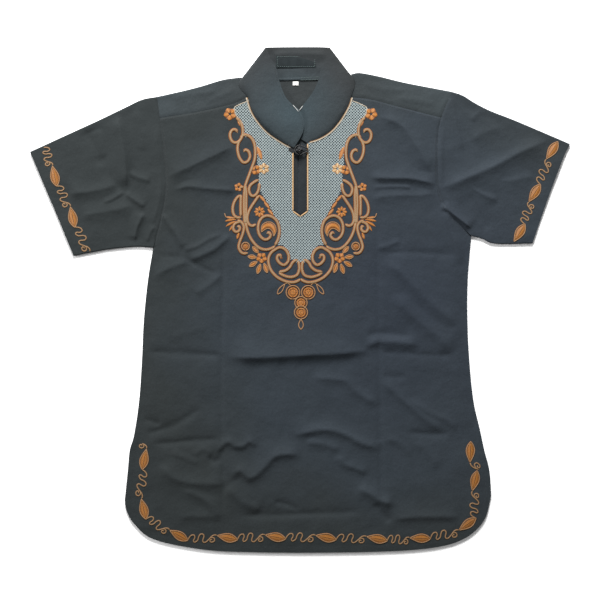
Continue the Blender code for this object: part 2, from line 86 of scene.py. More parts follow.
def sampled(path, stations, wanted):
    """Points of a path at the wanted values of its stations: a straight blend of the points on both sides."""
    return np.column_stack([np.interp(wanted, stations, path[:, k]) for k in range(path.shape[1])])


def evenly(path, count=None, spacing=None):
    """The path cut into count equal steps, or into steps of about spacing."""
    run = run_along(path)
    steps = count or max(2, round(run[-1] / spacing))
    return sampled(path, run, np.linspace(0, run[-1], steps + 1))


def curve(points, count=None, spacing=None):
    """Smooth curve through the points, cut evenly."""
    return evenly(spans(points), count, spacing)


def joined(*paths):
    """Several paths as one, where each starts at the last point of the one before."""
    return np.vstack([paths[0]] + [path[1:] for path in paths[1:]])


def unit(ways):
    """Each vector divided by its length, the root of the sum of its squares."""
    return ways / np.linalg.norm(ways, axis=-1, keepdims=True)


def left_of(ways):
    """Plan vectors turned a quarter to the left: (x, y) to (-y, x)."""
    return np.stack([-ways[..., 1], ways[..., 0]], -1)


def headings(angles):
    """Plan vectors of length 1 at angles from X: (cos, sin)."""
    return np.stack([np.cos(angles), np.sin(angles)], -1)


def outward(path, inside):
    """Unit vector at right angles to the path at each point, on the side away from the inside point."""
    across = unit(left_of(np.gradient(path, axis=0)))
    return across * np.sign(((path - np.asarray(inside)) * across).sum(1))[:, None]


arc = curve([(-1, 0), (0, 1), (1, 0)], 12)
print("a curve through three points of a circle:", round(run_along(arc)[-1], 2), "long")

# %% Patches and distances


def patch(south, north, west, east):
    """Grid between four edges: the blend across plus the blend along, less the blend of the four corners."""
    v, u = np.mgrid[0:1:len(west) * 1j, 0:1:len(south) * 1j][..., None]
    across, along = between(south[None], north[None], v), between(west[:, None], east[:, None], u)
    low, high = between(south[0], south[-1], u), between(north[0], north[-1], u)
    return across + along - (1 - v) * low - v * high


def between(low, high, share):
    """The blend low * (1 - share) + high * share."""
    return low * (1 - share) + high * share


def raised(plan, height):
    """Plan points with a height added to each."""
    heights = np.asarray(height, float)[..., None]
    return np.concatenate([plan, np.broadcast_to(heights, plan.shape[:-1] + (1,))], -1)


def smoothstep(x):
    """0 below 0, 1 above 1, and 3x² - 2x³ between."""
    x = np.clip(x, 0, 1)
    return x * x * (3 - 2 * x)


def bell(x):
    """e to the minus x squared."""
    return np.exp(-(x**2))


def nearest(plan, path):
    """For each plan point: distance to the path, side (above 0 is left) and how far along, from 0 to 1."""
    start, step = path[:-1], np.diff(path, axis=0)
    offset = plan[..., None, :] - start
    t = np.clip((offset * step).sum(-1) / (step**2).sum(-1), 0, 1)
    gap = np.linalg.norm(offset - t[..., None] * step, axis=-1)
    side = step[:, 0] * offset[..., 1] - step[:, 1] * offset[..., 0]
    near = gap.argmin(-1)[..., None]
    gap, side, t = (np.take_along_axis(values, near, -1)[..., 0] for values in (gap, side, t))
    return gap, side, (near[..., 0] + t) / len(step)


def gap_to(plan, *paths):
    """Distance from each plan point to the nearest of the paths."""
    return np.minimum.reduce([nearest(plan, path)[0] for path in paths])


print("from (3, 4) to a line through 0:", gap_to(np.array((3.0, 4.0)), np.array([(0.0, 0.0), (0.0, 9.0)])))

# %% [markdown]
# ## The cutting lines
# These are the edges and seams of the shirt, the same as those of its solids. A cloth shell has its outer
# face where the solid has it, so nothing that is sewn on sinks in or floats.

# %% Sizes
# Walls of the cloth shells, clearances at seams, folds and heights of outer faces
SHELL, COLLAR_SHELL = 0.8, 1.0
SEAM_SHIFT = 0.45
SLEEVE_SHIFT = 0.04
FOLD_OUTSIDE = 1.95
COLLAR_FOLD_OUTSIDE = 2.4
TOP = 2 * FOLD_OUTSIDE
COLLAR_TOP = 2 * COLLAR_FOLD_OUTSIDE
SEAM_TOP = 2.7
EDGE_ROLL = 26.0

# The slit runs down to two corners and a point between them
SLIT_X, SLIT_HALF_WIDTH = 0.5, 10.1
SLIT_CORNER_Y, SLIT_POINT_Y = 142.6, 135.7
HEM_MIDDLE = (SLIT_X, -404)
BACK_NECKLINE = [(-93.4, 356), (-48, 354), (0, 354.4), (48, 356.3), (81.6, 360.8)]
BACK_NECK_DROP = 2.0
BACK_YOKE_SEAM_Y = 250.0
NECK_MIDDLE = (-4, 330)
print("cloth", SHELL, "mm thick, the front's outer face", TOP, "mm up, its seams", SEAM_TOP, "mm")

# %% Cutting lines of both sides
# sign is the side of X; flap_rise is how far the flap's tip lies above or below its fold
RIGHT = SimpleNamespace(
    name="right", sign=-1, flap_rise=0.7,
    hem=[(-280, -320), (-277, -337), (-264, -359), (-232, -383), (-152, -399), (-76, -403), HEM_MIDDLE],
    side=[(-280, -320), (-275, -272), (-272, -240), (-265, -215), (-257, -160), (-252.5, -96), (-249.5, -32),
          (-243, 32), (-234.6, 83.2)],
    armhole=[(-234.6, 83.2), (-220.8, 136), (-214.4, 184), (-219.5, 250), (-224, 290.4), (-228.8, 324.8)],
    yoke_seam=[(-224, 290.4), (-160, 301), (-107, 313.5), (-84.2, 324)],
    shoulder=[(-228.8, 324.8), (-192, 333), (-160, 341), (-123, 352), (-93.4, 356)],
    neckline=[(-84.2, 324), (-77, 301), (-65.6, 283), (-48.8, 265.6), (-27.2, 251),
              (SLIT_X - SLIT_HALF_WIDTH, 242.4)],
    neck_side=[(-93.4, 356), (-97.6, 341), (-84.2, 324)],
    collar_fold=[(-92.0, 355.9), (-54.9, 404)],
    free_edge=[(-54.9, 404), (-48.3, 389), (-38.6, 372), (-33, 350), (-24.5, 326.5), (-14, 313.5),
               (-0.6, 302.4), (6.4, 283.2), (4.8, 267.7)],
    flap_end=[(4.8, 267.7), (-1.6, 255.2), (-9.3, 247)],
    sleeve_top=[(-228.8, 324.8), (-252.8, 320.2), (-280, 307.4), (-318, 289), (-355, 272), (-390, 256),
                (-431.4, 237)],
    sleeve_under=[(-234.6, 83.2), (-259, 85), (-285, 83.2), (-310.5, 80), (-336, 75.2), (-361.5, 70.4)],
    cuff=[(-431.4, 237), (-412, 191), (-384, 125), (-361.5, 70.4)],
)
LEFT = SimpleNamespace(
    name="left", sign=1, flap_rise=-1.5,
    hem=[HEM_MIDDLE, (96, -403), (173, -400), (224, -394), (257, -384), (281, -368), (297, -346),
         (305.5, -312)],
    side=[(305.5, -312), (302.5, -272), (294.5, -240), (287, -205), (277, -160), (270.5, -96), (267.5, -32),
          (268, 32), (273.6, 102.4)],
    armhole=[(273.6, 102.4), (238.4, 139.2), (222, 180), (219.5, 250), (225.6, 291.2), (243.2, 332.8)],
    yoke_seam=[(81.9, 324), (115, 320), (160, 308), (225.6, 291.2)],
    shoulder=[(81.6, 360.8), (96, 363), (128, 357), (160, 349), (192, 342.5), (243.2, 332.8)],
    neckline=[(81.9, 324), (77, 309), (64, 286.5), (48.8, 269), (30.4, 257.6),
              (SLIT_X + SLIT_HALF_WIDTH, 251.4)],
    neck_side=[(81.6, 360.8), (88, 345.6), (81.9, 324)],
    collar_fold=[(80.2, 360.7), (47.2, 404)],
    free_edge=[(47.2, 404), (40.6, 381), (32.5, 365.5), (29.8, 352), (21.1, 333), (4.8, 311), (-5, 296),
               (-7, 280), (-6.4, 270)],
    flap_end=[(-6.4, 270), (0, 258.6), (9.6, 253.2)],
    sleeve_top=[(243.2, 332.8), (261, 326.5), (278.5, 315.5), (304, 302.5), (341, 288), (379, 272),
                (431.4, 249.5)],
    sleeve_under=[(273.6, 102.4), (291, 97.6), (304, 91.4), (317, 89.6), (342.5, 89.6), (371.2, 90.4)],
    cuff=[(431.4, 249.5), (419.8, 225.6), (395.2, 160), (371.2, 90.4)],
)
SIDES = (RIGHT, LEFT)
SEAMS = (RIGHT.armhole, LEFT.armhole, RIGHT.yoke_seam, LEFT.yoke_seam)

body_rim = joined(curve(RIGHT.side[::-1], 40), curve(RIGHT.hem, 30), curve(LEFT.hem, 30),
                  curve(LEFT.side, 40))
hem_line = joined(curve(RIGHT.side[3::-1], 14), curve(RIGHT.hem, 40), curve(LEFT.hem, 40),
                  curve(LEFT.side[:4], 14))
print("the shirt is", round(RIGHT.cuff[0][0]), "to", round(LEFT.cuff[0][0]), "mm wide")

# %% [markdown]
# ## Creases
# A pressed shirt that comes out of its packet has straight press folds, and soft drag lines where it was
# pulled flat. Cloth simulation would put them anywhere, so each crease is placed where the real one has it.
# It is a crest with two unlike flanks: its height times e to the minus (distance / flank width) to a power a
# little above 1, which keeps the crest sharp, fading out at both ends. A press fold has one narrow flank,
# which is what catches the light. Seams draw the cloth in, and a hem is a step up.

# %% Creases of the top layer
# Each row: height (below 0 is a groove), width of the flank on its left as it runs, width of the other flank,
# points along the line
CREASES = {
    "press fold across the middle": (6.4, 26, 6, [(-118, -89), (-100, -92), (-50, -92), (0, -89), (60, -86),
        (114, -81)]),
    "its groove on the right side": (-2.0, 5, 6, [(-247, -83), (-200, -84), (-165, -87), (-130, -88),
        (-114, -92)]),
    "its groove on the left side": (-1.8, 5, 6, [(124, -84), (150, -84), (200, -87), (252, -88)]),
    "right hip drag": (-2.7, 5, 5, [(-250, -213), (-225, -208), (-200, -199), (-180, -187), (-158, -173)]),
    "right hip wedge": (-2.5, 5, 5, [(-252, -189), (-238, -194), (-222, -199)]),
    "right hip line": (-2.7, 4, 5, [(-238, -230), (-205, -228), (-180, -225), (-150, -223), (-126, -223)]),
    "zigzag, lower part": (-3.0, 4, 4, [(-146, -250), (-137, -258), (-122, -251)]),
    "zigzag": (3.6, 7, 4, [(-136, -246), (-120, -229), (-112, -227), (-104, -233), (-90, -233), (-80, -226),
        (-68, -237)]),
    "small folds by the zigzag": (1.7, 5, 4, [(-172, -250), (-154, -238), (-140, -247)]),
    "fold outside the zigzag": (1.6, 5, 5, [(-206, -244), (-186, -251), (-160, -262)]),
    "low wave": (4.8, 14, 6, [(-112, -288), (-98, -273), (-88, -278), (-80, -284), (-68, -278), (-54, -264),
        (-40, -250), (-20, -246), (4, -249)]),
    "soft fold at the low right": (4.6, 16, 11, [(-226, -262), (-200, -285), (-160, -293), (-118, -293)]),
    "its tail": (2.9, 10, 7, [(-192, -302), (-160, -314), (-141, -330), (-131, -356)]),
    "slope beside the tail": (3.4, 14, 9, [(-118, -298), (-92, -322), (-60, -336)]),
    "low press line": (-2.8, 8, 4, [(-99, -344), (-60, -345), (-30, -344), (0, -342), (60, -341),
        (102, -338)]),
    "short line above it": (-2.2, 4, 5, [(-42, -323), (-26, -325), (-12, -330), (2, -336)]),
    "fold by the hem": (2.1, 9, 5, [(-196, -347), (-165, -346), (-136, -346)]),
    "arch at the left waist": (3.9, 14, 7, [(102, -78), (120, -68), (150, -67), (192, -73)]),
    "groove above the arch": (-3.1, 9, 6, [(104, -58), (130, -54), (178, -58)]),
    "drag below the press fold": (2.9, 8, 8, [(18, -124), (50, -126), (72, -129), (84, -140), (98, -152),
        (126, -168)]),
    "left hip drag": (2.9, 7, 6, [(130, -126), (152, -149), (174, -168), (196, -186), (228, -211)]),
    "left hip second drag": (2.4, 6, 5, [(172, -158), (205, -180), (235, -192), (251, -209)]),
    "short line at the left waist": (-1.2, 4, 4, [(132, -122), (150, -123), (172, -122)]),
    "wave across the middle": (4.8, 10, 7, [(-14, -218), (10, -211), (45, -207), (75, -216), (100, -229),
        (132, -237)]),
    "its lower branch": (2.5, 8, 6, [(6, -227), (40, -231), (64, -240)]),
    "its upper branch": (1.8, 4, 4, [(100, -219), (116, -226), (134, -231)]),
    "left hip line": (-2.2, 4, 5, [(172, -211), (200, -214), (240, -214)]),
    "left hip small drags": (1.7, 5, 5, [(136, -221), (158, -228), (178, -249)]),
    "second small drag": (1.6, 6, 6, [(186, -226), (204, -244), (222, -268)]),
    "short drag": (3.0, 7, 5, [(60, -248), (70, -262), (88, -268), (108, -277)]),
    "fork at the low left": (4.6, 8, 8, [(92, -299), (112, -309), (128, -320), (150, -325)]),
    "leg of the fork": (-2.5, 6, 6, [(120, -323), (130, -338), (144, -356)]),
    "fold by the fork": (3.8, 12, 6, [(146, -350), (180, -347), (215, -346), (257, -347)]),
    "right chest drag": (4.5, 21, 11, [(-214, 195), (-190, 206), (-160, 220), (-130, 234), (-104, 247)]),
    "right chest line": (2.8, 8, 5, [(-202, 175), (-178, 181), (-150, 178), (-98, 174)]),
    "right side crease": (2.9, 8, 3, [(-221, 138), (-208, 118), (-195, 98), (-186, 80)]),
    "its first branch": (2.1, 5, 4, [(-188, 79), (-165, 85), (-145, 97), (-120, 107)]),
    "its second branch": (3.5, 9, 5, [(-178, 63), (-150, 74), (-130, 86), (-110, 104)]),
    "drag to the right side": (2.5, 10, 6, [(-240, 35), (-210, 50), (-174, 63)]),
    "right line below the chest": (-1.2, 4, 4, [(-236, 71), (-212, 70), (-186, 69)]),
    "crossing line": (-2.0, 4, 4, [(-186, 68), (-160, 54), (-131, 40)]),
    "its way back": (2.0, 6, 5, [(-168, 10), (-145, 24), (-123, 42)]),
    "faint right waist drag": (1.0, 7, 6, [(-206, -62), (-180, -52), (-150, -44)]),
    "left chest line": (4.5, 11, 6, [(110, 196), (140, 194), (180, 193), (218, 184)]),
    "left chest second line": (1.9, 5, 4, [(114, 179), (150, 181), (182, 179)]),
    "left chest third line": (2.2, 8, 9, [(114, 162), (150, 167), (190, 167), (216, 171)]),
    "left shoulder drag": (4.0, 14, 12, [(124, 294), (158, 281), (178, 258), (196, 228), (212, 200)]),
    "left line across": (-1.6, 4, 5, [(122, 75), (180, 76), (250, 72)]),
    "short line above that": (1.6, 4, 3, [(122, 82), (142, 87), (160, 95)]),
    "left side drag": (4.3, 16, 13, [(132, 64), (164, 40), (192, 10), (222, -16), (254, -41)]),
    "left side second drag": (3.6, 16, 12, [(148, 10), (176, -22), (200, -42), (222, -60), (242, -84)]),
    "left armhole fold": (3.1, 6, 8, [(230, 148), (240, 112), (252, 82), (265, 52)]),
    "press line on the right": (-1.7, 3, 5, [(-122, 118), (-123, 0), (-126, -150), (-124, -225), (-122, -300),
        (-126, -368)]),
    "press line on the left": (-1.6, 3, 5, [(124, 150), (127, -80), (129, -225), (131, -368)]),
    "fold at the left armhole's top": (2.0, 4, 9, [(238, 328), (245, 303), (252, 270), (262, 236)]),
    "right sleeve line": (5.4, 3.5, 14, [(-293, 294), (-284, 260), (-278, 220), (-277, 178)]),
    "right sleeve soft drag": (3.4, 12, 10, [(-370, 169), (-330, 174), (-290, 185)]),
    "right sleeve branch outwards": (2.6, 7, 2.5, [(-316, 154), (-300, 160), (-281, 172)]),
    "right sleeve branch inwards": (2.8, 6, 3, [(-280, 170), (-264, 159), (-247, 148)]),
    "right sleeve short line": (2.4, 5, 3.5, [(-274, 204), (-260, 196), (-238, 190)]),
    "right sleeve low swell": (3.0, 13, 12, [(-350, 134), (-306, 142), (-266, 150)]),
    "right sleeve shade": (-2.1, 10, 10, [(-342, 276), (-326, 238), (-317, 212)]),
    "right underarm fold": (3.4, 3, 9, [(-249, 139), (-260, 114), (-264, 94)]),
    "left sleeve drag": (6.0, 11, 16, [(222, 177), (260, 192), (310, 214), (352, 236), (398, 256)]),
    "left underarm fold": (4.6, 9, 4, [(224, 152), (244, 137), (274, 114)]),
    "left sleeve short line": (2.3, 6, 6, [(266, 188), (284, 173), (304, 163), (318, 160)]),
    "left sleeve shade": (-1.8, 9, 9, [(270, 172), (286, 140), (302, 110)]),
    "left sleeve low swell": (1.8, 10, 8, [(316, 189), (345, 192), (374, 199)]),
    "left shoulder dent": (1.4, 5, 4, [(272, 287), (284, 298), (298, 305)]),
    "left sleeve upper swell": (1.6, 9, 9, [(274, 255), (296, 268), (320, 277)]),
    "right seam allowance": (1.5, 5, 3, [(-238, 118), (-229, 140), (-222, 184), (-227, 250), (-231, 284)]),
    "left seam allowance": (1.3, 4, 4, [(252, 136), (234, 168), (227, 196), (226, 246), (231, 284)]),
    "right sleeve second line": (1.8, 6, 14, [(-322, 274), (-316, 250), (-312, 226)]),
    "right sleeve third line": (1.4, 5, 9, [(-262, 304), (-254, 272), (-250, 236)]),
    "underarm pucker": (2.0, 3, 5, [(-232, 118), (-240, 106), (-244, 92)]),
    "collar band, fold on the left": (1.6, 8, 6, [(30, 366), (46, 372), (62, 366)]),
    "collar band, fold on the right": (1.0, 7, 6, [(-66, 372), (-56, 376), (-40, 374)]),
    "collar band, top": (2.4, 7, 9, [(-46, 393), (0, 394), (46, 392)]),
    "right yoke drag": (1.4, 8, 7, [(-206, 322), (-170, 330), (-130, 332)]),
    "right yoke short fold": (1.2, 5, 6, [(-150, 318), (-126, 326), (-104, 338)]),
    "left yoke drag": (1.4, 7, 8, [(100, 346), (130, 338), (170, 334)]),
    "left yoke fold": (1.3, 8, 6, [(150, 322), (186, 318), (218, 312)]),
}
CREST_POWER = 1.15
# Slow swells of the cloth between its creases: wave length, direction in degrees, height
SWELLS = ((148, 20, 0.35), (96, 112, 0.26), (61, 64, 0.16), (43, 158, 0.10))
print(len(CREASES), "creases, the highest", max(row[0] for row in CREASES.values()), "mm")

# %% Relief
FADE_RATE, FADE_START = 5, 0.12
SEAM_DIP, SEAM_DIP_WIDTH = 0.9, 1.5
HEM_WIDTH, HEM_STEP, HEM_SLOPE = 9.0, 0.35, 1.5
LOWEST = 1.75
seam_lines = [curve(line, 40) for line in SEAMS]


def relief(plan):
    """Height of creases and swells at each plan point. Where lines meet, the stronger one counts."""
    flat = plan.reshape(-1, 2)
    crests, grooves = np.zeros(len(flat)), np.zeros(len(flat))
    for height, left_width, right_width, points in CREASES.values():
        crest = curve(points, 8 * len(points))
        reach = 3 * max(left_width, right_width)
        close = np.all((flat > crest.min(0) - reach) & (flat < crest.max(0) + reach), axis=1)
        if close.any():
            gap, side, along = nearest(flat[close], crest)
            width = np.where(side > 0, left_width, right_width)
            ends = smoothstep(np.minimum(along, 1 - along) * FADE_RATE + FADE_START)
            shape = height * np.exp(-((gap / width) ** CREST_POWER)) * ends
            crests[close] = np.maximum(crests[close], shape)
            grooves[close] = np.minimum(grooves[close], shape)
    total = crests + grooves
    for length, degrees, height in SWELLS:
        total += height * np.sin(2 * math.pi * (flat @ headings(np.radians(degrees))) / length + degrees)
    return total.reshape(plan.shape[:-1])


def seam_dip(plan):
    """Cloth is drawn in along its stitches: a groove of SEAM_DIP at every seam."""
    return sum(-SEAM_DIP * bell(nearest(plan, line)[0] / SEAM_DIP_WIDTH) for line in seam_lines)


def front_height(plan):
    """Outer face of the front: low at seams and hem, full inside, a step at the hem, never below LOWEST."""
    inside = smoothstep(gap_to(plan, body_rim) / EDGE_ROLL)
    hem = HEM_STEP * smoothstep((HEM_WIDTH - gap_to(plan, hem_line)) / HEM_SLOPE)
    return np.maximum(LOWEST, SEAM_TOP + inside * (TOP - SEAM_TOP + relief(plan)) + seam_dip(plan) + hem)


print("height of the front at its middle:", front_height(np.zeros((1, 2))).round(2), "mm")

# %% [markdown]
# ## Materials
# Black cotton poplin is a plain weave of fine yarn. It is never quite black: it scatters a little blue-grey
# light, and its nap catches more of it at low angles, which is its sheen. Embroidery thread is rayon:
# bright, with a silky lustre. Its colour is painted darker where the thread turns down beside the cord, as
# painted shade, and lighter along its top, as a painted highlight. Each material gets those traits from
# nodes. Patterns that follow a cord or a stitch read the piece's own UV map, in which U is the length along
# it in metres and V runs from 0 to 1 across it.

# %% Material helpers


def linear(hex_colour):
    """sRGB hex colour as linear values: ((c + 0.055) / 1.055) ** 2.4, or c / 12.92 near black."""
    channels = [int(hex_colour[k:k + 2], 16) / 255 for k in (1, 3, 5)]
    return (*(c / 12.92 if c <= 0.04045 else ((c + 0.055) / 1.055) ** 2.4 for c in channels), 1)


def add(tree, kind, settings=(), **links):
    """One node with its settings and what feeds it: a link is a socket or a value, named after the input."""
    node = tree.nodes.new("ShaderNode" + kind)
    for key, value in dict(settings).items():
        setattr(node, key, value)
    for name, value in links.items():
        socket = node.inputs[int(name[1:]) if name[1:].isdigit() else name.replace("_", " ")]
        if isinstance(value, bpy.types.NodeSocket):
            tree.links.new(value, socket)
        else:
            socket.default_value = value
    return node


def maths(tree, operation, a, b=0.0, c=0.0):
    """One Math node and its result."""
    return add(tree, "Math", {"operation": operation}, _0=a, _1=b, _2=c).outputs[0]


def waves(tree, along, pitch):
    """sin(2 pi * along / pitch)."""
    return maths(tree, "SINE", maths(tree, "MULTIPLY", along, 2 * math.pi / pitch))


def coordinates(tree, kind="Object"):
    """Where a shaded point lies: in metres from the piece's origin, or in its UV map."""
    return add(tree, "TexCoord").outputs[kind]


def noise(tree, place, scale, detail, roughness=0.5):
    """Cloudy noise between 0 and 1, scale clouds to the metre."""
    return add(tree, "TexNoise", Vector=place, Scale=scale, Detail=detail, Roughness=roughness).outputs[0]


def ramp(tree, factor, *stops):
    """Colour ramp from (position, hex colour) stops."""
    node = add(tree, "ValToRGB", Fac=factor)
    elements = node.color_ramp.elements
    while len(elements) < len(stops):
        elements.new(0.5)
    for element, (position, colour) in zip(elements, stops):
        element.position = position
        element.color = linear(colour)
    return node.outputs["Color"]


def darkened(tree, colour, shade, share):
    """colour * (1 - share + share * shade)."""
    return add(tree, "MixRGB", {"blend_type": "MULTIPLY"}, Fac=share, Color1=colour, Color2=shade).outputs[0]


def new_material(name, roughness, sheen=0.0, specular=0.5):
    """Principled material with the values that are the same all over it."""
    made = bpy.data.materials.new(name)
    made.use_nodes = True
    inputs = made.node_tree.nodes["Principled BSDF"].inputs
    for key, value in (("Roughness", roughness), ("Sheen Weight", sheen), ("Sheen Roughness", 0.4),
                       ("Specular IOR Level", specular)):
        inputs[key].default_value = value
    return made, made.node_tree


def finished(made, colour, bump=None):
    """Joins a colour, and a bump if there is one, to the material's shader."""
    inputs = made.node_tree.nodes["Principled BSDF"].inputs
    made.node_tree.links.new(colour, inputs["Base Color"])
    if bump:
        made.node_tree.links.new(bump.outputs[0], inputs["Normal"])
    print("material:", made.name)
    return made


# %% Cotton poplin
YARN_PITCH = 0.55


def poplin(name, inner, between, outer, middle, rate):
    """Cotton poplin: fine weave, crumples 30 mm long, painted light and shade that change by rate * distance
    from a middle.
    """
    made, tree = new_material(name, roughness=0.85, sheen=0.14, specular=0.2)
    place, centre = coordinates(tree), (middle[0] * MM, middle[1] * MM, 0.0)
    reach = add(tree, "VectorMath", {"operation": "DISTANCE"}, _0=place, _1=centre).outputs["Value"]
    cloud = noise(tree, place, 6.0, 3.0, 0.55)
    # The ramp from inner to outer is painted light and shade: it shifts the tint and darkens the cloth away
    # from the middle, to even out how the lights fall on it. The cloud adds random tone.
    tone_and_painted_falloff = maths(tree, "MULTIPLY_ADD", cloud, 0.35, maths(tree, "MULTIPLY", reach, rate))
    colour = ramp(tree, tone_and_painted_falloff, (0.20, inner), (0.70, between), (1.0, outer))
    slub = ramp(tree, noise(tree, place, 420.0, 2.0), (0.3, "#b8b8b8"), (0.7, "#ffffff"))
    axes = add(tree, "SeparateXYZ", Vector=place).outputs
    warp, weft = waves(tree, axes[0], YARN_PITCH * MM), waves(tree, axes[1], YARN_PITCH * MM)
    weave = add(tree, "Bump", Strength=0.25, Distance=0.00008, Height=maths(tree, "MULTIPLY", warp, weft))
    crumple = noise(tree, place, 34.0, 4.0)
    folds = add(tree, "Bump", Strength=0.7, Distance=0.0030, Height=crumple, Normal=weave.outputs[0])
    return finished(made, darkened(tree, colour, slub, 0.35), folds)


# The body's cloth, the collar's, which is stiffened, the yoke's, which is cut across and painted lighter, and
# the slit's facing
# Each drift is painted light and shade. The body's darkens away from its middle to even out the lights'
# fall-off. The collar's is a painted sheen in its middle with painted shade at its edges. The yoke's lighter
# tone is a painted sheen.
cotton = poplin("black_cotton_poplin", "#202730", "#242b31", "#202526", (170, 0), 2.0)
collar_cotton_painted_sheen = poplin("black_cotton_stiffened_painted_sheen", "#2b373c", "#25292b", "#202120", (-12, 298), 6.0)
yoke_cotton_painted_sheen = poplin("black_cotton_cut_across_painted_sheen", "#242829", "#2b3235", "#292d2e", (0, 340), 2.2)
facing = poplin("black_cotton_facing", "#191c20", "#1c2023", "#202325", (0, 0), 2.0)

# %% Threads
# A satin stitch is about 0.4 mm wide. Drawn at that size it would melt away, so the twist is drawn 1.2 to
# 2.4 mm apart. A leaf's fill has a vein: there its stitches meet at a slant, and the groove's shade is
# painted in a darker colour.
TWIST_PITCH = 1.5


def thread(name, edge, body, crest, roughness=0.55, pitch=TWIST_PITCH, slant=1.1, vein_shade=None):
    """Thread on a cord or leaf: painted shade at the edges of V and between its turns, a painted highlight on
    its crest, slanting ridges.
    """
    made, tree = new_material(name, roughness, sheen=0.08, specular=0.3)
    length, across, _ = add(tree, "SeparateXYZ", Vector=coordinates(tree, "UV")).outputs
    offset = maths(tree, "ABSOLUTE", maths(tree, "SUBTRACT", across, 0.5))
    # The edge and vein colours are painted shade, and the crest colour is a painted highlight.
    stops = [(0.10, crest), (0.42, body), (0.88, edge)]
    if vein_shade:
        stops = [(0.03, vein_shade), (0.14, crest), (0.72, body), (0.97, edge)]
    base = ramp(tree, maths(tree, "MULTIPLY", offset, 2.0), *stops)
    lean = maths(tree, "MULTIPLY", offset if vein_shade else across, slant)
    ridge = waves(tree, maths(tree, "ADD", maths(tree, "MULTIPLY", length, 1 / (pitch * MM)), lean), 1.0)
    # The troughs of the twist are darkened as painted shade.
    shade = ramp(tree, maths(tree, "MULTIPLY_ADD", ridge, 0.5, 0.5), (0.0, "#b09c88"), (0.6, "#ffffff"))
    return finished(made, darkened(tree, base, shade, 0.55),
                    add(tree, "Bump", Strength=0.5, Distance=0.0003, Height=ridge))


# Copper and orange rayon for the motifs, paler cream for the piping, cotton for the net, black for the seams.
# Each has painted shade at its edges and a painted highlight on its crest; the black also stands for seam
# shadow.
scroll_thread = thread("rayon_cord_copper", "#3a1d08", "#784511", "#856f50")
satin_thread = thread("rayon_satin_orange", "#3c1f0a", "#7b4b17", "#916027", pitch=2.2, slant=6.0,
                      vein_shade="#4c270d")
petal_thread = thread("rayon_satin_petal", "#4e290b", "#8d551b", "#a0692d", pitch=1.8, slant=4.0)
fine_thread = thread("rayon_cord_dull_copper", "#33200f", "#614427", "#856a49")
cream_thread = thread("rayon_cord_cream", "#6e431a", "#9c7443", "#b09a77")
neck_thread = thread("rayon_cord_pale_cream", "#53402c", "#8c7f6a", "#a09a8e")
dark_thread = thread("rayon_cord_dark_brown", "#140a04", "#25140a", "#3a2212")
pale_thread = thread("cotton_thread_pale_blue", "#44565b", "#748589", "#a2adad", pitch=1.2)
black_thread = thread("cotton_thread_black", "#060708", "#0c0e10", "#15181b", pitch=1.4)
knot_cord = thread("twisted_black_cord", "#050506", "#101113", "#2a2b2e", roughness=0.5, pitch=2.4)
label_thread = thread("woven_edging_grey_green", "#1e2929", "#303e3e", "#435151", pitch=1.6)
# A bright white for the V of two strokes on the collar.
white_v_material = thread("white_strokes_on_the_collar", "#7d8080", "#a8acab", "#c2c5c3", pitch=1.6)

# %% [markdown]
# ## Cloth shells
# A sewn panel is one sheet, so each shell is an open surface: grids of points on the solid's outer face,
# merged where they meet, with a Solidify modifier that gives the cloth its thickness inwards. Its faces are
# first turned to look outwards, with the highest face as the guide, and a narrow rim all round keeps the
# cut edge crisp.

# %% Making a shell
RIM = 0.12
MERGE = 0.03


def placed(name, data):
    """A new object in the scene."""
    made = bpy.data.objects.new(name, data)
    scene.collection.objects.link(made)
    return made


def grid_mesh(name, grids):
    """Mesh of grids of points in millimetres, with quads between neighbours, and its faces."""
    faces, start = [], 0
    for rows, columns in (grid.shape[:2] for grid in grids):
        corner = start + (np.arange(rows - 1)[:, None] * columns + np.arange(columns - 1)).ravel()
        faces.append(np.column_stack([corner, corner + 1, corner + columns + 1, corner + columns]))
        start += rows * columns
    mesh, faces = bpy.data.meshes.new(name), np.vstack(faces)
    mesh.from_pydata(np.vstack([grid.reshape(-1, 3) for grid in grids]) * MM, [], faces.tolist())
    return mesh, faces


def dressed(mesh, material, slot=None, node=None):
    """An object of a finished mesh, with its material. Where a slot is given, the solid that it stands for is
    hidden.
    """
    mesh.shade_smooth()
    mesh.materials.append(material)
    made = placed(mesh.name, mesh)
    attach(made, "root")
    if slot:
        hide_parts(node)
    print(mesh.name, len(mesh.polygons), "faces")
    return made


def shell(name, grids, thickness, material, slot, node):
    """One cloth piece from grids of points."""
    mesh = grid_mesh(name, grids)[0]
    work = bmesh.new()
    work.from_mesh(mesh)
    bmesh.ops.remove_doubles(work, verts=work.verts, dist=MERGE * MM)
    bmesh.ops.recalc_face_normals(work, faces=work.faces)
    guide = max(work.faces, key=lambda face: face.calc_center_median().z)
    if guide.normal.z < 0:
        bmesh.ops.reverse_faces(work, faces=work.faces)
    area = sum(face.calc_area() for face in work.faces)
    bmesh.ops.inset_region(work, faces=work.faces, thickness=RIM * MM, use_boundary=True)
    work.to_mesh(mesh)
    work.free()
    made = dressed(mesh, material, slot, node)
    wall = made.modifiers.new("cloth", "SOLIDIFY")
    wall.thickness = thickness * MM
    wall.offset = -1


print("rim", RIM, "mm wide, points within", MERGE, "mm are one")

# %% [markdown]
# The front is four patches round the slit. Below the slit, two of them share the centre line. Beside it,
# each runs from the armhole to the slit's edge and on up the neckline.

# %% Front
FRONT_COLUMNS = 86
FRONT_LOWER_ROWS = 168
ARMHOLE_ROWS_BELOW = 24
SLIT_POINT_ROWS, SLIT_ROWS, NECKLINE_ROWS = 3, 37, 51
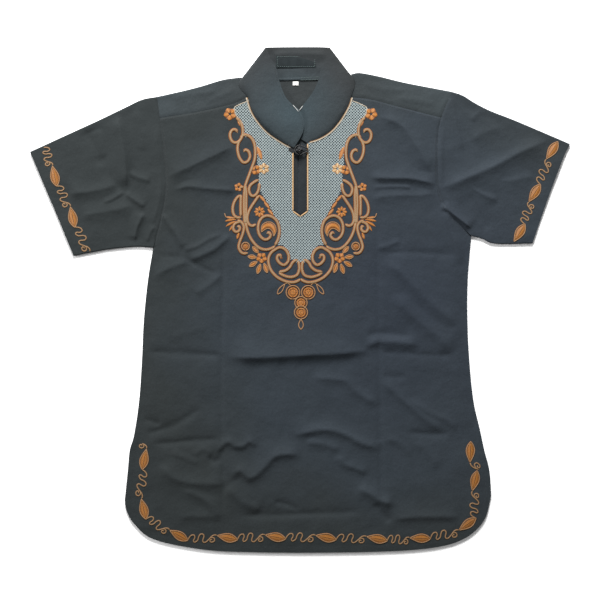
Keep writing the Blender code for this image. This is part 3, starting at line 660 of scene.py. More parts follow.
# Stations share out an armhole: so many to each of its spans. The four below are level with the slit's
# point, at the yoke's back seam, at its front seam and at the shoulder
ARMHOLE_STEPS = (5, 5, 7, 4, 3)
SLIT_STATION, BACK_STATION, YOKE_STATION, SHOULDER_STATION = 5, 17, 21, 24


def armhole_part(cut, first, last, count):
    """Piece of an armhole between two of its stations."""
    stations = np.cumsum((0,) + ARMHOLE_STEPS)
    ends = np.interp([first, last], stations, np.arange(len(cut.armhole)) * SPAN_STEPS)
    path = spans(cut.armhole)
    return evenly(sampled(path, np.arange(len(path)), np.linspace(*ends, 80)), count)


def front_grids():
    """The four patches of the front, from the hem and side seams in to the slit and the neckline."""
    point = np.array((SLIT_X, SLIT_POINT_Y))
    centre = curve([HEM_MIDDLE, point], FRONT_LOWER_ROWS)
    grids = []
    for cut in SIDES:
        corner = (SLIT_X + cut.sign * SLIT_HALF_WIDTH, SLIT_CORNER_Y)
        outer = joined(curve(cut.side, FRONT_LOWER_ROWS - ARMHOLE_ROWS_BELOW),
                       armhole_part(cut, 0, SLIT_STATION, ARMHOLE_ROWS_BELOW))
        inner = joined(curve([point, corner], SLIT_POINT_ROWS), curve([corner, cut.neckline[-1]], SLIT_ROWS),
                       curve(cut.neckline, NECKLINE_ROWS)[::-1])
        upper = armhole_part(cut, SLIT_STATION, YOKE_STATION, len(inner) - 1)
        eastward = -cut.sign
        level = np.linspace(upper[0], point, FRONT_COLUMNS + 1)[::eastward]
        grids += [patch(curve(cut.hem, FRONT_COLUMNS), level, *(outer, centre)[::eastward]),
                  patch(level, curve(cut.yoke_seam, FRONT_COLUMNS), *(upper, inner)[::eastward])]
    return grids


shell("front_panel", [raised(plan, front_height(plan)) for plan in front_grids()], SHELL, cotton,
      "black_cotton", "front")

# %% [markdown]
# The back lies flat on the floor. The yoke starts on it, turns over both shoulders in a half-round fold and
# ends as a strip on the front, so it is one sheet with the same outer side all the way.

# %% Back and yoke
SHOULDER_STEPS, STRIP_ROWS = 46, 12


def back_grid():
    """The back panel: flat, with its edges on the front's and its top along the yoke's back seam."""
    west, east = (joined(curve(cut.side, 40), armhole_part(cut, 0, BACK_STATION, 16)) for cut in SIDES)
    seam = np.linspace((-219.5, BACK_YOKE_SEAM_Y), (219.5, BACK_YOKE_SEAM_Y), 41)
    return raised(patch(joined(curve(RIGHT.hem, 20), curve(LEFT.hem, 20)), seam, west, east), SHELL)


def fold_over(edge, away, radius, steps=6):
    """Rows of a half-round fold up from the floor: at angle a, 1 - sin a radii in and 1 - cos a up."""
    angles = np.linspace(0, math.pi, steps + 1)
    return np.stack([raised(edge - away * radius * (1 - math.sin(a)), radius * (1 - math.cos(a)))
                     for a in angles])


def yoke_grids():
    """The yoke's back layer, its two shoulder folds and its two strips on the front."""
    neck = curve(BACK_NECKLINE, 30)
    neck[:, 1] -= np.sin(np.linspace(0, math.pi, 31)) ** 0.5 * BACK_NECK_DROP
    folds, strips = [], []
    for cut in SIDES:
        outer = 0 if cut is RIGHT else -1
        edge = curve(cut.shoulder, SHOULDER_STEPS)
        side_edge = armhole_part(cut, YOKE_STATION, SHOULDER_STATION, STRIP_ROWS)
        away = outward(edge, (0, 0))
        away[outer] = unit(side_edge[-1] - side_edge[-2])
        folds.append(fold_over(edge, away, FOLD_OUTSIDE))
        low_edge, high_edge = curve(cut.yoke_seam, SHOULDER_STEPS), folds[-1][-1, :, :2]
        side_edge[0], side_edge[-1] = low_edge[outer], high_edge[outer]
        neck_edge = curve([low_edge[-1 - outer], cut.neck_side[1], high_edge[-1 - outer]], STRIP_ROWS)
        plan = patch(low_edge, high_edge, *(side_edge, neck_edge)[::-cut.sign])
        fade = smoothstep(np.linspace(3, 0, STRIP_ROWS + 1))[:, None]
        strips.append(raised(plan, TOP + (relief(plan) + seam_dip(plan)) * fade))
    top = np.vstack([folds[0][0, :, :2], neck[1:-1], folds[1][0, :, :2]])
    west, east = (armhole_part(cut, BACK_STATION, SHOULDER_STATION, 20) for cut in SIDES)
    west[-1], east[-1] = top[0], top[-1]
    return [raised(patch(np.linspace(west[0], east[0], len(top)), top, west, east), 0.0)] + folds + strips


shell("back_panel", [back_grid()], SHELL, cotton, "black_cotton", "back")
shell("shoulder_yoke", yoke_grids(), SHELL, yoke_cotton_painted_sheen, "black_cotton", "yoke")

# %% [markdown]
# A sleeve is a tube pressed flat: each ring runs along its top layer, round the underarm fold, back along
# the floor and up round the top fold. Its open ends are the armhole and the cuff.

# %% Sleeves
SLEEVE_STEPS = 88
CUFF_HEM = 22.0
FOLD_FADE = 12.0


def sleeve_plan(cut):
    """Plan of a sleeve: rows from the armhole to the cuff, columns from the top fold to the underarm."""
    start = armhole_part(cut, 0, SHOULDER_STATION, SLEEVE_STEPS)[::-1] + (cut.sign * SLEEVE_SHIFT, 0)
    top, under = curve(cut.sleeve_top, SLEEVE_STEPS), curve(cut.sleeve_under, SLEEVE_STEPS)
    top[0], under[0] = start[0], start[-1]
    return patch(top, under, start, curve(cut.cuff, SLEEVE_STEPS)).transpose(1, 0, 2)


def sleeve_height(outline, plan):
    """Outer face of a sleeve: its creases, and at both folds a quarter circle. outline is its plan grid."""
    edge_gap = gap_to(plan, outline[:, 0], outline[:, -1])
    depth = np.clip(edge_gap, 0, FOLD_OUTSIDE)
    turn = FOLD_OUTSIDE + np.sqrt(FOLD_OUTSIDE**2 - (FOLD_OUTSIDE - depth) ** 2)
    hem = HEM_STEP * smoothstep((CUFF_HEM - gap_to(plan, outline[-1])) / HEM_SLOPE)
    inside = smoothstep((edge_gap - FOLD_OUTSIDE) / FOLD_FADE)
    return turn + inside * np.maximum(LOWEST - TOP, relief(plan) + seam_dip(plan) + hem)


def sleeve_grid(outline):
    """The tube's rings: top layer, underarm fold, floor layer and top fold, closed onto the first column."""
    radius, rings = FOLD_OUTSIDE, []
    turns = np.linspace(0, math.pi, 7)[1:-1]
    for ring in outline:
        run = run_along(ring)
        flat = sampled(ring, run, np.clip(run, radius, run[-1] - radius))
        ends = (flat[-1], ring[-1] - ring[-2], 1), (flat[0], ring[0] - ring[1], -1)
        folds = [[(*(end + unit(way) * radius * math.sin(a)), radius * (1 + up * math.cos(a))) for a in turns]
                 for end, way, up in ends]
        rings.append(np.vstack([raised(flat, 0.0), folds[0], raised(flat[::-3], 0.0), raised(flat[:1], 0.0),
                                folds[1], raised(flat[:1], 0.0)]))
    grid = np.stack(rings)
    top = sleeve_height(outline, grid[:, :outline.shape[1], :2])
    grid[:, :outline.shape[1], 2] = top
    grid[:, -1, 2] = top[:, 0]
    return grid


for cut, width in zip(SIDES, (500, 480)):
    cut.sleeve = sleeve_plan(cut)
    cut.sleeve_surface = partial(sleeve_height, cut.sleeve)
    shell(f"sleeve_of_the_{cut.name}_arm", [sleeve_grid(cut.sleeve)], SHELL, cotton, "black_cotton",
          "sleeve_" + cut.name)

# %% [markdown]
# The stand collar is one stiffened band. Behind the neck its inside shows, with the label. At both sides it
# folds over itself, and its two flaps come forward to the slit, the right one over the left one.

# %% Collar
COLLAR_ROWS, BAND_COLUMNS = 18, 34
FLAP_CROWN = 4.6
# The under flap's crown is this share of the over flap's
UNDER_SHARE = 0.6
ROLL, ROLL_LENGTH = 0.15, 0.05
LIP, LIP_WIDTH = 0.9, 7.0
BAND_FADE = 8.0


def flap_grid(cut, fold, over_edge):
    """A flap: crown as sin(pi u) ** 0.8 * sin(pi sqrt v) ** 1.1, less at the seam, a step at over_edge."""
    seam = joined(curve(cut.neck_side, 12), curve(cut.neckline, 44))[1:]
    seam = seam + (NECK_MIDDLE - seam) * SEAM_SHIFT / np.linalg.norm(NECK_MIDDLE - seam, axis=1)[:, None]
    base = np.vstack([fold[:1], seam])
    flap = patch(base, curve([fold[-1], *cut.free_edge[1:]], len(base) - 1), fold,
                 curve([base[-1], *cut.flap_end[-2::-1]], COLLAR_ROWS))
    u, v = np.linspace(0, 1, len(base))[None], np.linspace(0, 1, COLLAR_ROWS + 1)[:, None]
    hang = np.sin(math.pi * v**0.5) ** 1.1 - ROLL * np.exp(-v / ROLL_LENGTH)
    crown = FLAP_CROWN * np.sin(math.pi * u) ** 0.8 * hang * (1 if cut is RIGHT else UNDER_SHARE)
    lie = COLLAR_TOP + cut.flap_rise * smoothstep((u - 0.3) / 0.5)
    step = LIP * bell(gap_to(flap, over_edge) / LIP_WIDTH) * smoothstep((u - 0.35) / 0.25)
    return raised(flap, lie + crown - cut.sign * step)


def collar_grids():
    """The band's back part, its two side folds and its two flaps."""
    edges = [curve(cut.collar_fold, COLLAR_ROWS) for cut in SIDES]
    folds = [fold_over(edge, outward(edge, NECK_MIDDLE), COLLAR_FOLD_OUTSIDE).transpose(1, 0, 2)
             for edge in edges]
    west, east = (fold[:, 0, :2] for fold in folds)
    south = curve([west[0], *BACK_NECKLINE[1:-1], east[0]], BAND_COLUMNS)
    top = curve([west[-1], west[-1] + (7, 1.6), east[-1] + (-7, 1.6), east[-1]], BAND_COLUMNS)
    band = patch(south, top, west, east)
    swell = smoothstep(gap_to(band, west, east) / BAND_FADE) * np.maximum(0, relief(band))
    over_edge = joined(curve(RIGHT.free_edge, 30), curve(RIGHT.flap_end, 10))
    return [raised(band, swell), *folds] + [flap_grid(cut, fold[:, -1, :2], over_edge)
                                            for cut, fold in zip(SIDES, folds)]


collar_parts = collar_grids()
shell("stand_collar", collar_parts, COLLAR_SHELL, collar_cotton_painted_sheen, "black_cotton", "collar")

# %% [markdown]
# ## Trims at the neck
# Two strips of the facing show in the slit. Behind the neck there are a tape over the seam, a woven label
# that is left bare, and a small white tab, bare too. Each is a strip between two edges, with its rim
# pressed a little down.

# %% Strips, label and tab
PLACKET_SPLIT_X = -2.7
PLACKET_GAP = 0.6
PLACKET_TOP_Y = 240.0
SLIT_CLEARANCE = 0.7
STRIP_CROWN = 0.6
TRIM_TOP, TAB_TOP = 2.3, 2.2
TAPE_HALF_WIDTH = 2.2
RIB_PITCH = 0.8


def strip(name, low, high, top, material, slot, node, rows=8):
    """Strip between two edges, as high as top - STRIP_CROWN * (1 - sqrt(sin(pi v) * sin(pi u)))."""
    v = np.linspace(0, 1, rows + 1)[:, None]
    u = np.linspace(0, 1, len(low))[None]
    plan = between(low[None], high[None], v[..., None])
    swell = (np.sin(math.pi * v) * np.sin(math.pi * u)) ** 0.5
    shell(name, [raised(plan, top - STRIP_CROWN + STRIP_CROWN * swell)], SHELL, material, slot, node)


def placket(side, low_x, high_x):
    """Facing strip between two x positions, from the slit's pointed end up to the collar."""
    x = np.linspace(low_x, high_x, 13)
    slope = (SLIT_CORNER_Y - SLIT_POINT_Y) / SLIT_HALF_WIDTH
    low = np.column_stack([x, SLIT_POINT_Y + abs(x - SLIT_X) * slope + SLIT_CLEARANCE])
    strip("facing_strip_" + side, low, np.column_stack([x, np.full(13, PLACKET_TOP_Y)]), SEAM_TOP, facing,
          "black_cotton", "placket_" + side, rows=40)


def plan_box(node):
    """Lowest and highest corner of a solid's plan, in millimetres."""
    return [np.array(corner[:2]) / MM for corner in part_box(node)]


def tab(name, node, columns, top, material, slot):
    """Flat strip that fills a solid's plan."""
    low, high = plan_box(node)
    x = np.linspace(low[0], high[0], columns)
    edges = (np.column_stack([x, np.full(columns, y)]) for y in (low[1], high[1]))
    strip(name, *edges, top, material, slot, node)


def woven_tape(name, colour, light, roughness):
    """Damask label cloth: fine ribs across its length, smooth and a little shiny."""
    made, tree = new_material(name, roughness, sheen=0.05, specular=0.15)
    place = coordinates(tree)
    rib = waves(tree, add(tree, "SeparateXYZ", Vector=place).outputs[0], RIB_PITCH * MM)
    return finished(made, ramp(tree, noise(tree, place, 120.0, 2.0), (0.3, colour), (0.7, light)),
                    add(tree, "Bump", Strength=0.3, Distance=0.0001, Height=rib))


placket("right", SLIT_X - SLIT_HALF_WIDTH + SEAM_SHIFT, PLACKET_SPLIT_X - PLACKET_GAP)
placket("left", PLACKET_SPLIT_X + PLACKET_GAP, SLIT_X + SLIT_HALF_WIDTH - SEAM_SHIFT)
neck_line = curve(BACK_NECKLINE, 60)
neck_line = neck_line[np.abs(neck_line[:, 0]) < 52] - (0, BACK_NECK_DROP / 2)
strip("neck_seam_tape", neck_line - (0, TAPE_HALF_WIDTH), neck_line + (0, TAPE_HALF_WIDTH), TRIM_TOP,
      collar_cotton_painted_sheen, "woven_black_tape", "neck_tape")
label_cloth = woven_tape("damask_label_black", "#13191b", "#1a2022", 0.8)
tab_cloth = woven_tape("damask_tab_white", "#c9c9c4", "#e9e9e4", 0.6)
tab("woven_label_bare", "neck_label", 33, TRIM_TOP, label_cloth, "woven_black_tape")
tab("size_tab_bare", "size_tab", 9, TAB_TOP, tab_cloth, "white_tape")

# %% [markdown]
# ## Embroidery: cords
# A scroll on the shirt is a cord of rayon laid down by machine: a half-round bead that follows a line. Here
# it is a half ellipse carried along the line, on the height of the cloth below, with both ends tapered. All
# the cords of one thread become one mesh, with a UV map whose U is the length, so that the twist follows
# every turn.

# %% Cords
CORD_STEP = 1.1
SINK = 0.2


def thread_map(length, across):
    """UV pairs over a grid: length in metres, and 0 to 1 across."""
    return np.stack(np.broadcast_arrays(length * MM, across), -1)


def cord_rings(path, width, height, profile=6):
    """Half-ellipse rings on a path: at angle a, across * width / 2 * cos a and up height * sin a."""
    across = -unit(left_of(np.gradient(path[:, :2], axis=0)))
    length = run_along(path)
    taper = smoothstep(np.minimum(length, length[-1] - length) / width + 0.35)[:, None]
    angle = np.linspace(0, math.pi, profile + 1)[None]
    plan = path[:, None, :2] + across[:, None] * (width / 2 * taper * np.cos(angle))[..., None]
    height = path[:, 2:] + height * taper * np.sin(angle) - SINK
    return raised(plan, height), thread_map(length[:, None], angle / math.pi)


def laid(lines, width, height, surface=front_height):
    """Cords on a surface, along plan lines that are cut into even steps already."""
    return [cord_rings(raised(line, surface(line)), width, height) for line in lines]


def cords(lines, width, height, surface=front_height):
    """Cords on a surface, along smooth curves through the points of each line."""
    return laid([curve(line, spacing=CORD_STEP) for line in lines], width, height, surface)


def dashes(middle, way, length, width, height, surface=front_height):
    """Beads at many places: half ellipses along t from -1 to 1, their sizes times sqrt(1 - 0.8 t ** 2)."""
    t = np.linspace(-1, 1, 4)
    size = np.sqrt(1 - 0.8 * t**2)
    angle = np.linspace(0, math.pi, 5)
    spine = middle[:, None] + way[:, None] * (t * length / 2)[None, :, None]
    offset = (width / 2 * size[:, None] * np.cos(angle))[..., None]
    plan = spine[:, :, None] - left_of(way)[:, None, None] * offset
    beads = raised(plan, surface(spine)[..., None] + height * size[:, None] * np.sin(angle) - SINK)
    uv = thread_map((t * length / 2)[:, None], angle / math.pi)
    return [(bead, uv) for bead in beads]


def stitch_row(line, pitch, length, width, height, surface=front_height):
    """A bead in every step of about pitch along a plan line."""
    spots = evenly(line, spacing=pitch)
    return dashes((spots[1:] + spots[:-1]) / 2, unit(np.diff(spots, axis=0)), length, width, height, surface)


def sewn_on(name, pieces, material, slot=None, node=None):
    """One mesh from many grids with their UVs, riding on the shirt with its faces up or outwards."""
    mesh, faces = grid_mesh(name, [grid for grid, uv in pieces])
    uvs = np.vstack([uv.reshape(-1, 2) for grid, uv in pieces])
    mesh.uv_layers.new(name="thread").data.foreach_set("uv", uvs[faces.ravel()].ravel())
    if np.mean([face.normal.z for face in mesh.polygons]) < 0:
        mesh.flip_normals()
    dressed(mesh, material, slot, node)


print("cords in steps of", CORD_STEP, "mm, sunk", SINK, "mm into the cloth")

# %% [markdown]
# ## The chest's scrolls
# The left and right halves mirror each other about the slit, as such embroidery does, so each line is given
# once, by its distance from the middle and its height on the shirt.

# %% Scroll lines
# Each row runs in order along one cord, columns: distance out from the middle, Y
MIDDLE_X = 1.0
SCROLL_WIDTH, SCROLL_HEIGHT = 5.8, 1.3
SCROLLS = {
    "upper curl": [(100.6, 267), (103.5, 271.5), (108.5, 271.5), (112.4, 266), (112.2, 258.5), (108.6, 252.6),
        (103, 251), (97.5, 254), (93.8, 260), (92.2, 268), (93.4, 277), (97, 285), (103, 291.5)],
    "hooked curl": [(95.4, 258), (99.6, 249.3), (100.6, 239.3), (97.9, 227.5), (91.6, 219.5), (84.6, 221),
        (80.9, 228.5), (82.9, 236.5), (87.9, 239.5), (91.1, 236.5)],
    "arch and stem": [(96.5, 257), (93, 262), (87.9, 263.5), (80.4, 260), (75.1, 252.5), (72.6, 240.5),
        (73.1, 225.5), (77.9, 211), (83.6, 195.5), (88.4, 181.8), (90, 170), (90.6, 150), (89.4, 121.3)],
    "second stem": [(88.6, 184), (86.8, 170), (87, 150), (87.4, 121.3)],
    "third stem": [(95.2, 168), (95.8, 150.8), (95.5, 133)],
    "half ellipse": [(95.5, 167.8), (101.9, 162.6), (106.7, 154.2), (108.5, 144.7), (106.7, 136),
        (101.5, 131.7), (94.6, 131.7)],
    "teardrop": [(66.9, 192), (74.7, 187.5), (80.7, 182), (82.5, 175), (79.9, 167.8), (75, 165.9),
        (69.8, 169.8), (66.6, 178), (66.2, 187)],
    "inner curve": [(66.3, 167.2), (72.1, 158.6), (79, 148.2), (83.7, 138.6), (85.1, 128.2), (82.5, 120.8),
        (76.7, 118.2), (71.2, 121.3)],
    "sweep": [(88, 124), (84.2, 108.3), (77.3, 94.4), (66.9, 83.5), (55.6, 80.2), (45.2, 82.8), (41.2, 86.6)],
    "great oval": [(41.2, 86.6), (36, 97), (33.9, 110.9), (37, 123.9), (44.3, 131.7), (53.5, 134.3),
        (61.7, 130.8), (66.9, 122.1), (67.7, 110.9), (64.6, 101.9), (58.2, 96.5), (51.8, 97.3), (47.8, 102.5),
        (50.4, 107.4), (54.2, 105.7)],
    "lower spiral": [(31, 67.2), (32.5, 71.3), (36.5, 70.5), (37.4, 64.9), (33, 58.5), (26.1, 55.7),
        (20, 61.4), (19.2, 71), (24.4, 80.2), (33, 83.6), (41, 80), (46.9, 75.3), (50.9, 67.5), (51.2, 58),
        (46.9, 46.7), (37.4, 36.3), (24.4, 29.7), (12.2, 28), (4, 30.5), (0.4, 34)],
    "crescent above": [(4, 63.5), (9, 62.7), (13.6, 58.5), (17.4, 51.9), (24.4, 46.7), (34.8, 44.6)],
    "crescent below": [(34.8, 43.2), (26.1, 38.4), (15.7, 36.3), (6.1, 39.4), (2.4, 47.6), (2.4, 56),
        (4, 62.5)],
    "outer stem": [(101, 128), (93.7, 123), (90.6, 115.2), (92.9, 103.9), (97.2, 92.7), (98.9, 84),
        (95.5, 76.7), (90.3, 74.1), (84.2, 75.3)],
    "outer curl": [(95.5, 124.4), (101.5, 123.5), (106.2, 119.9), (107.6, 113.5), (104.1, 108.8),
        (99.3, 109.5), (96.9, 113.5), (98.6, 117.5), (101.5, 116.4)],
    "stem to the bud": [(90, 181), (94, 180), (98, 179.5)],
}


def both_sides(points):
    """The line on the wearer's right and its mirror image on the left."""
    plan = np.array(points, float)
    return [plan * (-1, 1) + (MIDDLE_X, 0), plan + (MIDDLE_X, 0)]


scroll_lines = [line for points in SCROLLS.values() for line in both_sides(points)]
sewn_on("embroidered_scrolls", cords(scroll_lines, SCROLL_WIDTH, SCROLL_HEIGHT), scroll_thread)
print("scroll cord:", round(sum(run_along(curve(line, 60))[-1] for line in scroll_lines) * MM, 2), "m")

# %% [markdown]
# ## Embroidery: satin fills
# Petals, leaves and the big crescents are satin stitch: threads laid close together from edge to edge over
# a little padding, so the fill swells in the middle. A fill is a surface between two edge curves, and the
# cord round it follows the same two curves.

# %% Leaves, discs and petals
FILL_CROWN = 0.9


def leaf_edges(start, end, width, bow=0.0, tail=1.15, count=14):
    """Both edges of a leaf: a spine bowed sideways, plus and less width / 2 * sin(pi * t ** tail) ** 0.85."""
    start, end = np.array(start, float), np.array(end, float)
    t = np.linspace(0, 1, count + 1)[:, None]
    side = left_of(unit(end - start))
    spine = start + (end - start) * t + side * bow * np.sin(math.pi * t)
    half = width / 2 * np.sin(math.pi * t**tail) ** 0.85
    return spine - side * half, spine + side * half


def round_both(edges):
    """One line along the first edge and back along the other."""
    return joined(edges[0], edges[1][::-1])


def fill(low, high, crown=FILL_CROWN, surface=front_height, rows=6):
    """Satin between two edges: crown * sin(pi v) ** 0.7 above the cloth, and less at narrow ends."""
    v = np.linspace(0, 1, rows + 1)[None]
    plan = between(low[:, None], high[:, None], v[..., None])
    width = np.linalg.norm(high - low, axis=1)[:, None]
    padding = crown * np.minimum(1, 2 * width / width.max()) * np.sin(math.pi * v) ** 0.7
    return raised(plan, surface(plan) + padding - SINK), thread_map(run_along((low + high) / 2)[:, None], v)


def fills(shapes, crown=FILL_CROWN, rows=6):
    """Satin on both sides of the slit, between the two edges of each shape."""
    return [fill(*edges, crown, rows=rows) for shape in shapes for edges in zip(*map(both_sides, shape))]


def disc(centre, radius, crown, sides=18, rows=4):
    """Round satin pad in rings: crown * cos(pi / 2 * v) above the cloth, with v from 0 to 1 outwards."""
    angle = np.linspace(0, 2 * math.pi, sides + 1)[:, None]
    v = np.linspace(0.04, 1, rows + 1)[None]
    plan = centre + (radius * v)[..., None] * headings(angle)
    height = front_height(plan) + crown * np.cos(math.pi / 2 * v) - SINK
    return raised(plan, height), thread_map(angle * radius, 0.5 + v / 2)


def petals(centre, radius, count, first, fullness=0.92):
    """Edges of each petal of a flower."""
    ways = headings(np.radians(first + np.arange(count) * 360 / count))
    width = 2 * radius * math.sin(math.pi / count) * fullness
    return [leaf_edges(centre + way * radius * 0.12, centre + way * radius, width) for way in ways]


print("satin swells", FILL_CROWN, "mm over the cloth")

# %% [markdown]
# ## The chest's flowers, leaves and rosettes
# They sit where the scrolls branch. The fills are a saturated orange, and their outlines the scrolls' paler
# copper. A rosette is a padded disc with cords coiled on it, and dark stitches between its cords.

# %% Flowers and leaves
# Each row: centre (out, Y), radius, number of petals, direction of the first in degrees
FLOWERS = {
    "upper flower": ((112.6, 296.8), 10.5, 5, 62),
    "flower at the net": ((71.5, 207.5), 8.2, 4, 30),
    "bud flower": ((99.0, 180.0), 7.2, 5, 100),
    "outlined flower": ((65.6, 140.6), 9.0, 8, 90),
    "heart of the lower flower": ((62.3, 67.2), 9.0, 5, 54),
}
PALE_FLOWER = ((58.8, 209.6), 9.4, 6, 90)
# Each row: base, tip (out, Y), width, sideways bow
LEAVES = {
    "upper bud": ((93.0, 274.5), (101.0, 286.5), 6.5, 0.5),
    "patch on the net": ((61.0, 222.0), (69.5, 245.5), 9.5, 0.0),
    "palmette 1": ((102.5, 131.0), (118.5, 133.5), 5.0, -1.2),
    "palmette 2": ((102.0, 128.5), (121.5, 125.5), 5.4, 0.8),
    "palmette 3": ((102.0, 126.5), (120.0, 117.0), 5.4, 0.6),
    "palmette 4": ((102.0, 125.0), (114.5, 109.5), 5.2, 0.4),
    "bud below the curl": ((97.8, 109.0), (101.8, 96.5), 6.0, 0.0),
    "small leaf 1": ((55.0, 155.0), (66.5, 168.0), 6.4, 0.0),
    "small leaf 2": ((48.5, 144.5), (58.5, 157.5), 6.4, 0.0),
    "small leaf 3": ((42.8, 134.0), (53.0, 146.0), 6.4, 0.0),
}
LOWER_PETALS = {
    "petal 1": ((67.0, 74.5), (76.6, 85.0), 6.2, 0.0),
    "petal 2": ((70.0, 67.8), (84.3, 69.4), 6.2, 0.0),
    "petal 3": ((69.0, 61.5), (82.0, 53.5), 6.4, 0.0),
    "petal 4": ((64.2, 57.8), (69.0, 41.8), 6.4, 0.0),
    "petal 5": ((58.5, 59.0), (53.2, 43.2), 6.4, 0.0),
}
CRESCENT_OUTSIDE = [(62.9, 108), (62, 117.8), (55.9, 123.5), (47.8, 124), (41, 119), (39.2, 110), (43, 101.5)]
CRESCENT_INSIDE = [(62.9, 108), (58.2, 111.5), (53.8, 114), (49, 113.5), (45.3, 109.5), (43.6, 105),
                   (43, 101.5)]
PALMETTE_STEM = [(105, 131.5), (113, 130.5), (119, 132.5), (121.5, 138.5)]
CRESCENT_CROWN = 1.1

crescent = curve(CRESCENT_OUTSIDE, 30), curve(CRESCENT_INSIDE, 30)
lower_petals = [leaf_edges(*row) for row in LOWER_PETALS.values()]
flower_petals = [petal for row in FLOWERS.values() for petal in petals(*row)]
leaves = [leaf_edges(*row) for row in LEAVES.values()]
outlines = [round_both(edges) for edges in lower_petals + [crescent]] + [PALMETTE_STEM]
sewn_on("satin_petals_and_leaves", fills(flower_petals + leaves + lower_petals)
        + fills([crescent], CRESCENT_CROWN, 8), petal_thread)
sewn_on("petal_outlines", cords([line for outline in outlines for line in both_sides(outline)], 2.1, 1.0),
        scroll_thread)
sewn_on("pale_flower_on_the_net", fills(petals(*PALE_FLOWER)), cream_thread)

# %% Rosettes
# Each row: centre (out, Y), radius. The last two lie on the middle line, at X
SIDE_ROSETTES = [((88.0, 85.6), 7.4), ((12.2, 12.0), 12.0), ((31.0, 67.4), 3.6)]
MIDDLE_ROSETTES = [((1.6, -4.6), 11.0), ((1.6, -20.0), 11.6)]
ROSETTE_CORD = 2.4
EYE_RADIUS = 1.5
SMALL_ROSETTE = 8.0


def rosette_rings(centre, radius):
    """Circles from the rim in to the eye, 0.8 of a cord apart. A small rosette has its rim only."""
    sizes = np.arange(radius - ROSETTE_CORD / 2, EYE_RADIUS + 1.0, -ROSETTE_CORD * 0.8)
    around = headings(np.linspace(-0.5 * math.pi, 1.5 * math.pi, 17))
    return [centre + size * around for size in (sizes if radius > SMALL_ROSETTE else sizes[:1])]


rosettes = [(centre, radius) for out, radius in SIDE_ROSETTES for (centre,) in both_sides([out])]
rosettes += MIDDLE_ROSETTES
ring_sets = [rosette_rings(*rosette) for rosette in rosettes]
rims = [ring for rings in ring_sets for ring in rings[:1]]
gaps = [ring for rings in ring_sets for ring in rings[1::2]]
coils = [ring for rings in ring_sets for ring in rings[2::2]]
dark_stitches = [bead for ring in gaps for bead in stitch_row(ring, 3.0, 1.5, 1.1, 1.25)]
sewn_on("rosette_pads", [disc(centre, radius - 1.0, 0.8) for centre, radius in rosettes], petal_thread)
sewn_on("rosette_dark_stitches", dark_stitches + [disc(centre, EYE_RADIUS, 1.1, sides=12)
                                                  for centre, radius in rosettes], dark_thread)
sewn_on("rosette_rims", cords(rims, ROSETTE_CORD, 1.2), scroll_thread)
sewn_on("rosette_cords", cords(coils, ROSETTE_CORD, 1.1), petal_thread)

# %% Pendant
side_loop = round_both(leaf_edges((25.0, 25.8), (36.8, 9.2), 6.2, tail=1.35))
end_loop = round_both(leaf_edges((1.6, -30.0), (1.6, -47.0), 7.5, tail=1.3))
pendant = both_sides(side_loop) + both_sides([(25, 25.8), (20.5, 27), (16, 23)])
pendant += [end_loop] + both_sides([(1.6, 59.5), (1.6, 52), (1.6, 44.5)])
sewn_on("pendant_loops", cords(pendant, 2.2, 1.0), scroll_thread)

# %% [markdown]
# ## The net
# Between the scrolls the cloth is covered with a pale openwork of short slanting stitches that leave dark
# diamond holes 4.6 mm apart. Each stitch is a bead of 12 faces, and all are worked out at once: one stands
# in every cell of a fine square grid, leaning left and right in turn, where the cell's middle lies inside
# the net's outline.

# %% Net stitches
NET_PITCH = 4.6
NET_OUTLINE = [
    (81.5, 318.5), (105.4, 308), (103.4, 295.5), (92.2, 281), (91.2, 262.5), (80.4, 256.8), (71.1, 241.8),
    (69.6, 228), (67.9, 210.5), (66.1, 193), (64.6, 175.5), (51.6, 153), (41.1, 133), (34.6, 113),
    (37.1, 89.3), (26.6, 85.5), (19.6, 70.5), (11.6, 63), (0, 58.5),
]
PIPING_INSET = 1.9
SLIT_TRIM = 1.7


def inside(points, outline):
    """True where a point is inside a closed outline: a line to its right meets it an odd number of times."""
    a, b = outline, np.roll(outline, -1, axis=0)
    x, y = points[:, None, 0], points[:, None, 1]
    level = (a[:, 1] > y) != (b[:, 1] > y)
    crossing = a[:, 0] + (y - a[:, 1]) * (b[:, 0] - a[:, 0]) / (b[:, 1] - a[:, 1] + 1e-9)
    return (level & (x < crossing)).sum(1) % 2 == 1


def neck_edge(cut):
    """Inner edge of net and piping on one side: slit point to corner, corner to slit top, the neckline."""
    slit = SLIT_X + cut.sign * (SLIT_HALF_WIDTH + SLIT_TRIM)
    rim = curve(cut.neckline[::-1], spacing=2.0)
    rim = rim + outward(rim, NECK_MIDDLE) * PIPING_INSET
    rim = rim[np.abs(rim[:, 0] - SLIT_X) > SLIT_HALF_WIDTH + SLIT_TRIM + 1.5]
    corner = (slit, SLIT_CORNER_Y - 1.0)
    return np.array([(SLIT_X, SLIT_POINT_Y - 2.6), corner]), np.array([corner, (slit, rim[0, 1] - 1.2)]), rim


halves = [np.vstack([outer, joined(*neck_edge(cut))])
          for cut, outer in zip(SIDES, both_sides(curve(NET_OUTLINE, spacing=3.0)))]
i, j = np.mgrid[-50:50, 22:142]
cells = np.stack([i + 0.5, j + 0.5], -1).reshape(-1, 2) * NET_PITCH / 2 + (MIDDLE_X, 0)
lean = np.where((i + j) % 2, 1, -1).reshape(-1)
keep = inside(cells, halves[0]) | inside(cells, halves[1])
ways = np.column_stack([lean, np.ones_like(lean)])[keep] / math.sqrt(2)
sewn_on("openwork_net", dashes(cells[keep], ways, NET_PITCH * 0.8, 1.5, 0.7), pale_thread)
print("net stitches:", keep.sum())

